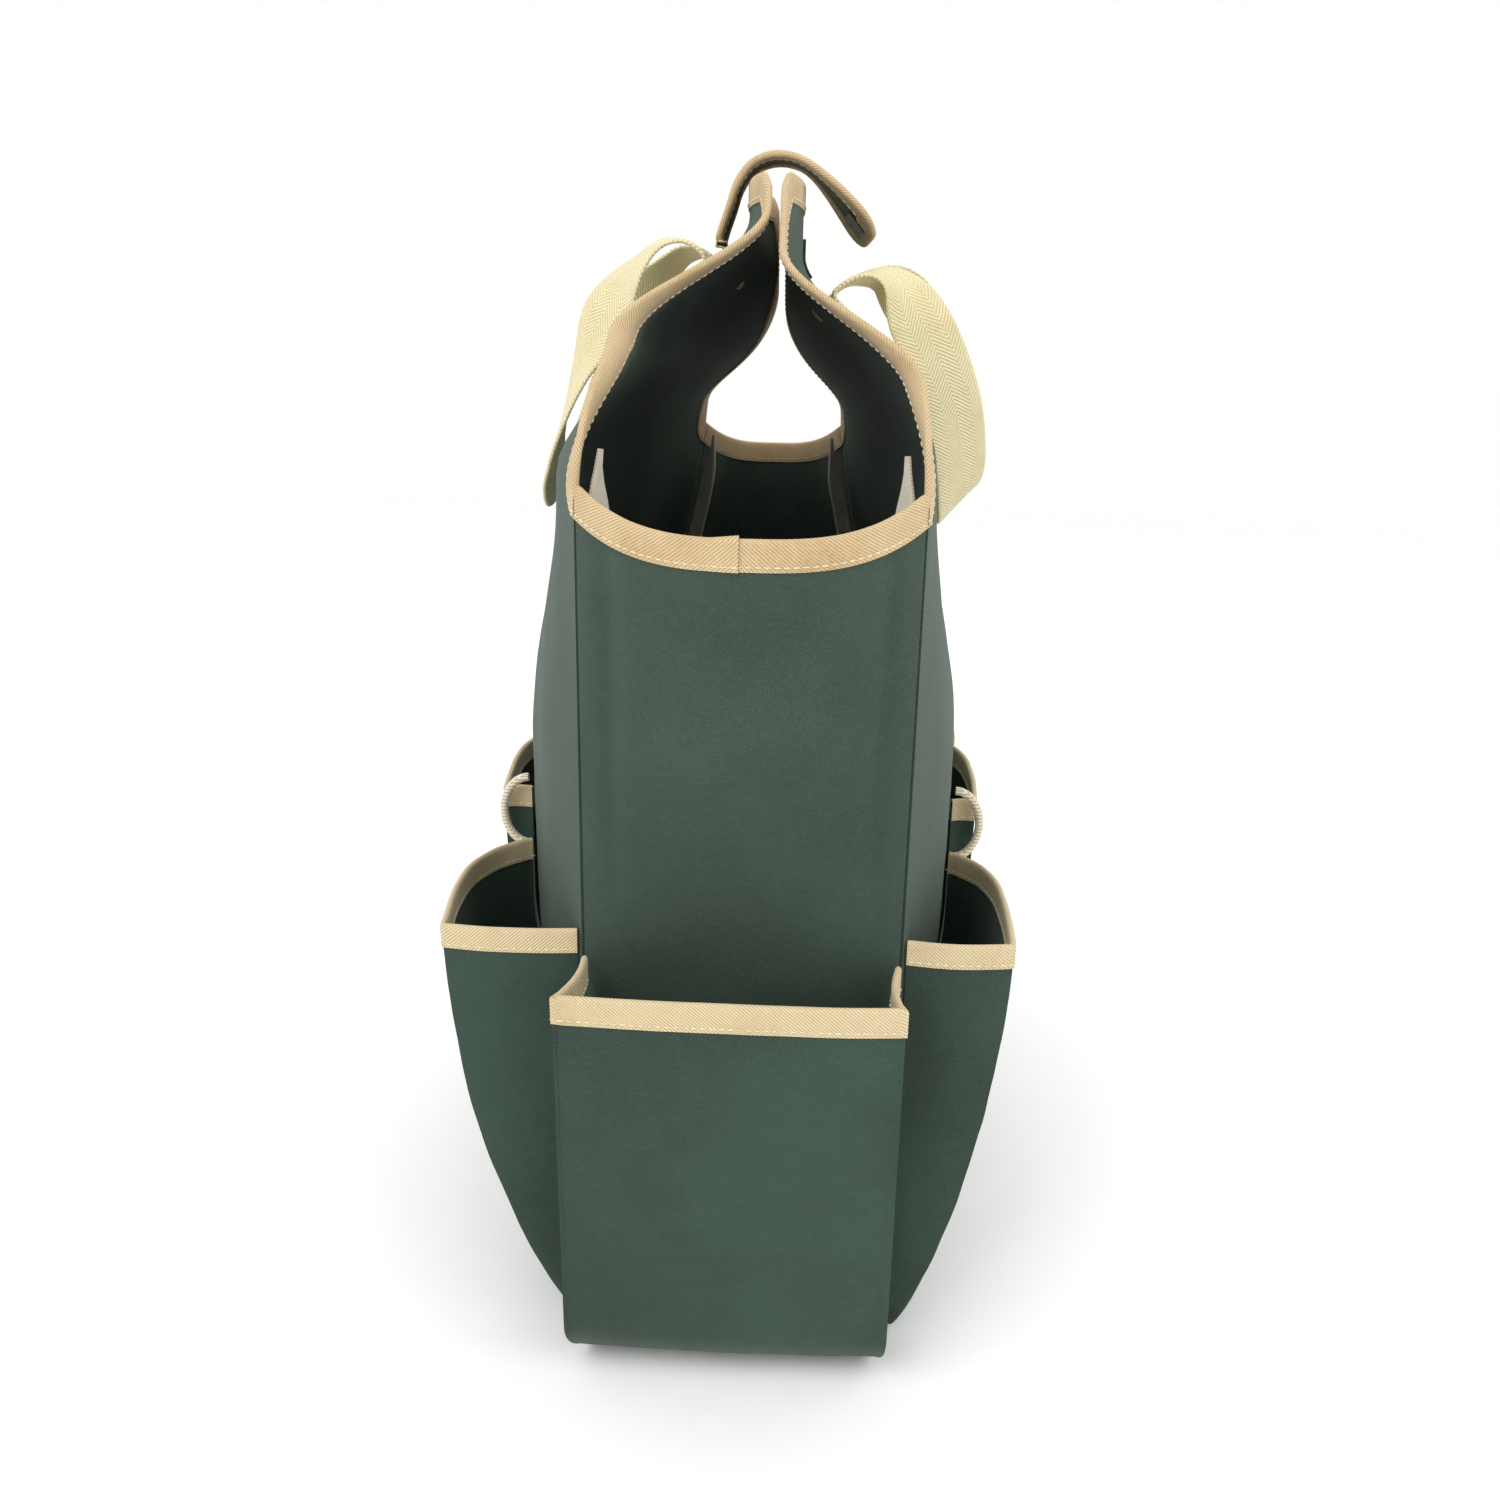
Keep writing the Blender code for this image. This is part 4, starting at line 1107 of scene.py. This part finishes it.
def tab_outline(length, spacing):
    half, radius = TAB_HALF_WIDTH, TAB_ROUND
    turns = np.linspace(0, math.pi / 2, 12)
    near = [(s, -half) for s in np.linspace(0, length - radius, 40)]
    near += [(length - radius + radius * math.sin(a), -half + radius - radius * math.cos(a))
             for a in turns[1:]]
    far = [(s, -y) for s, y in reversed(near)]
    return resample(np.array(near + far), spacing)


def make_tab():
    """The closure strap: cloth bound on three sides, sewn low on the left flap and arching over both tops."""
    surface, length = tab_surface()
    rows = np.concatenate([np.linspace(0, length - TAB_ROUND, 50),
                           length - TAB_ROUND + TAB_ROUND * np.sin(np.linspace(0, math.pi / 2, 12))[1:]])
    into = np.clip(rows - (length - TAB_ROUND), 0, TAB_ROUND)
    reach = TAB_HALF_WIDTH - (TAB_ROUND - np.sqrt(np.maximum(TAB_ROUND**2 - into**2, 0)))
    shares = np.linspace(-1, 1, 19)
    grid = surface(rows[:, None], reach[:, None] * shares[None, :])
    strap = sheet("closure_strap", grid, CLOTH, CANVAS)
    outline = tab_outline(length, STATION)
    build = Build()
    middle = surface(np.array([length * 0.5]), np.array([0.0]))[0]
    legs, normals, outs = edge_stations(surface, outline, np.array((-0.3, 0, 1.0)), middle)
    grid_ways = grid_normals(grid)
    for station in range(len(outline)):
        row = int(np.argmin(np.abs(rows - outline[station, 0])))
        if np.dot(normals[station, 0], grid_ways[row, len(shares) // 2]) < 0:
            normals[station] *= -1
    build.tape(legs, normals, outs, CLOTH)
    tape = build.make("closure_strap_tape", MOUTH_TAPE, THREAD)
    for piece, nodes, slot in ((strap, ("closure_tab", "closure_tab_root"), "canvas"),
                               (tape, ("closure_tab_binding",), "binding_tape")):
        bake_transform(piece)
        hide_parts(*nodes)


def make_patches():
    low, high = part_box("closure_hook_patch")
    surface, length = tab_surface()
    s = np.linspace(length - 0.0155, length - 0.0035, 8)
    y = np.linspace(low[1], high[1], 10)
    flat = surface(s[:, None], y[None, :])
    under = grid_normals(flat)
    under *= np.where(under[..., 2:3] > 0, -1.0, 1.0)
    hooks = sheet("hook_patch", flat + under * (CLOTH / 2 + 0.0008), PATCH, HOOKS)
    settle(hooks, "hook_and_loop", "closure_hook_patch", body="closure_tab")
    surface = side_surface(1)
    z = np.linspace(*LOOP_PATCH_Z, 10)
    y = np.linspace(-LOOP_PATCH_HALF, LOOP_PATCH_HALF, 12)
    ys, zs = np.meshgrid(y, z)
    lifted = surface(ys, zs) + outward(surface, ys, zs, SIDEWAYS) * (CLOTH / 2 + 0.0009)
    loops = sheet("loop_patch", lifted, PATCH, HOOKS)
    settle(loops, "hook_and_loop", "closure_loop_patch", body="right_flap")


# Stage

def make_stage():
    build = Build()
    turns = np.linspace(0, math.pi / 2, 16)
    profile = [(r, 0.0) for r in np.linspace(0.0, COVE_FLAT, 10)]
    profile += [(COVE_FLAT + COVE_TURN * math.sin(a), COVE_TURN * (1 - math.cos(a))) for a in turns[1:]]
    profile.append((COVE_FLAT + COVE_TURN, COVE_HEIGHT))
    n = COVE_SIDES
    around = np.linspace(0, 2 * math.pi, n + 1)[:-1]
    rings = np.array([[(r * math.cos(a), r * math.sin(a), z) for a in around] for r, z in profile[1:]])
    faces = [(n * i + j, n * i + (j + 1) % n, n * i + n + (j + 1) % n, n * i + n + j)
             for i in range(len(rings) - 1) for j in range(n)]
    faces.append(tuple(range(n)))
    build.add(rings, faces, np.zeros((n * len(rings), 2)))
    floor = build.make("floor", FLOOR)
    for name, place, aim, power in LIGHTS:
        light = bpy.data.lights.new(name, "AREA")
        light.energy = power
        light.size = LIGHT_SIZE
        made = linked(name, light)
        made.location = place
        ahead = Vector((0, 0, aim)) - Vector(place)
        made.rotation_euler = ahead.to_track_quat("-Z", "Y").to_euler()
    world = bpy.data.worlds.new("studio")
    world.use_nodes = True
    world.node_tree.nodes["Background"].inputs[0].default_value = (1.0, 1.0, 1.0, 1.0)
    world.node_tree.nodes["Background"].inputs[1].default_value = WORLD_STRENGTH
    bpy.context.scene.world = world
    bpy.context.scene.view_settings.view_transform = "Standard"


make_base()
for side in (-1, 1):
    make_side_cloth(side)
    make_mouth_tape(side)
    make_handle(side)
    for place in range(3):
        make_side_pocket(side, place)
    for end in (-1, 1):
        make_corner_binding(side, end)
for end in (-1, 1):
    make_end_cloth(end)
    make_end_pocket(end)
make_tab()
make_patches()
make_stage()
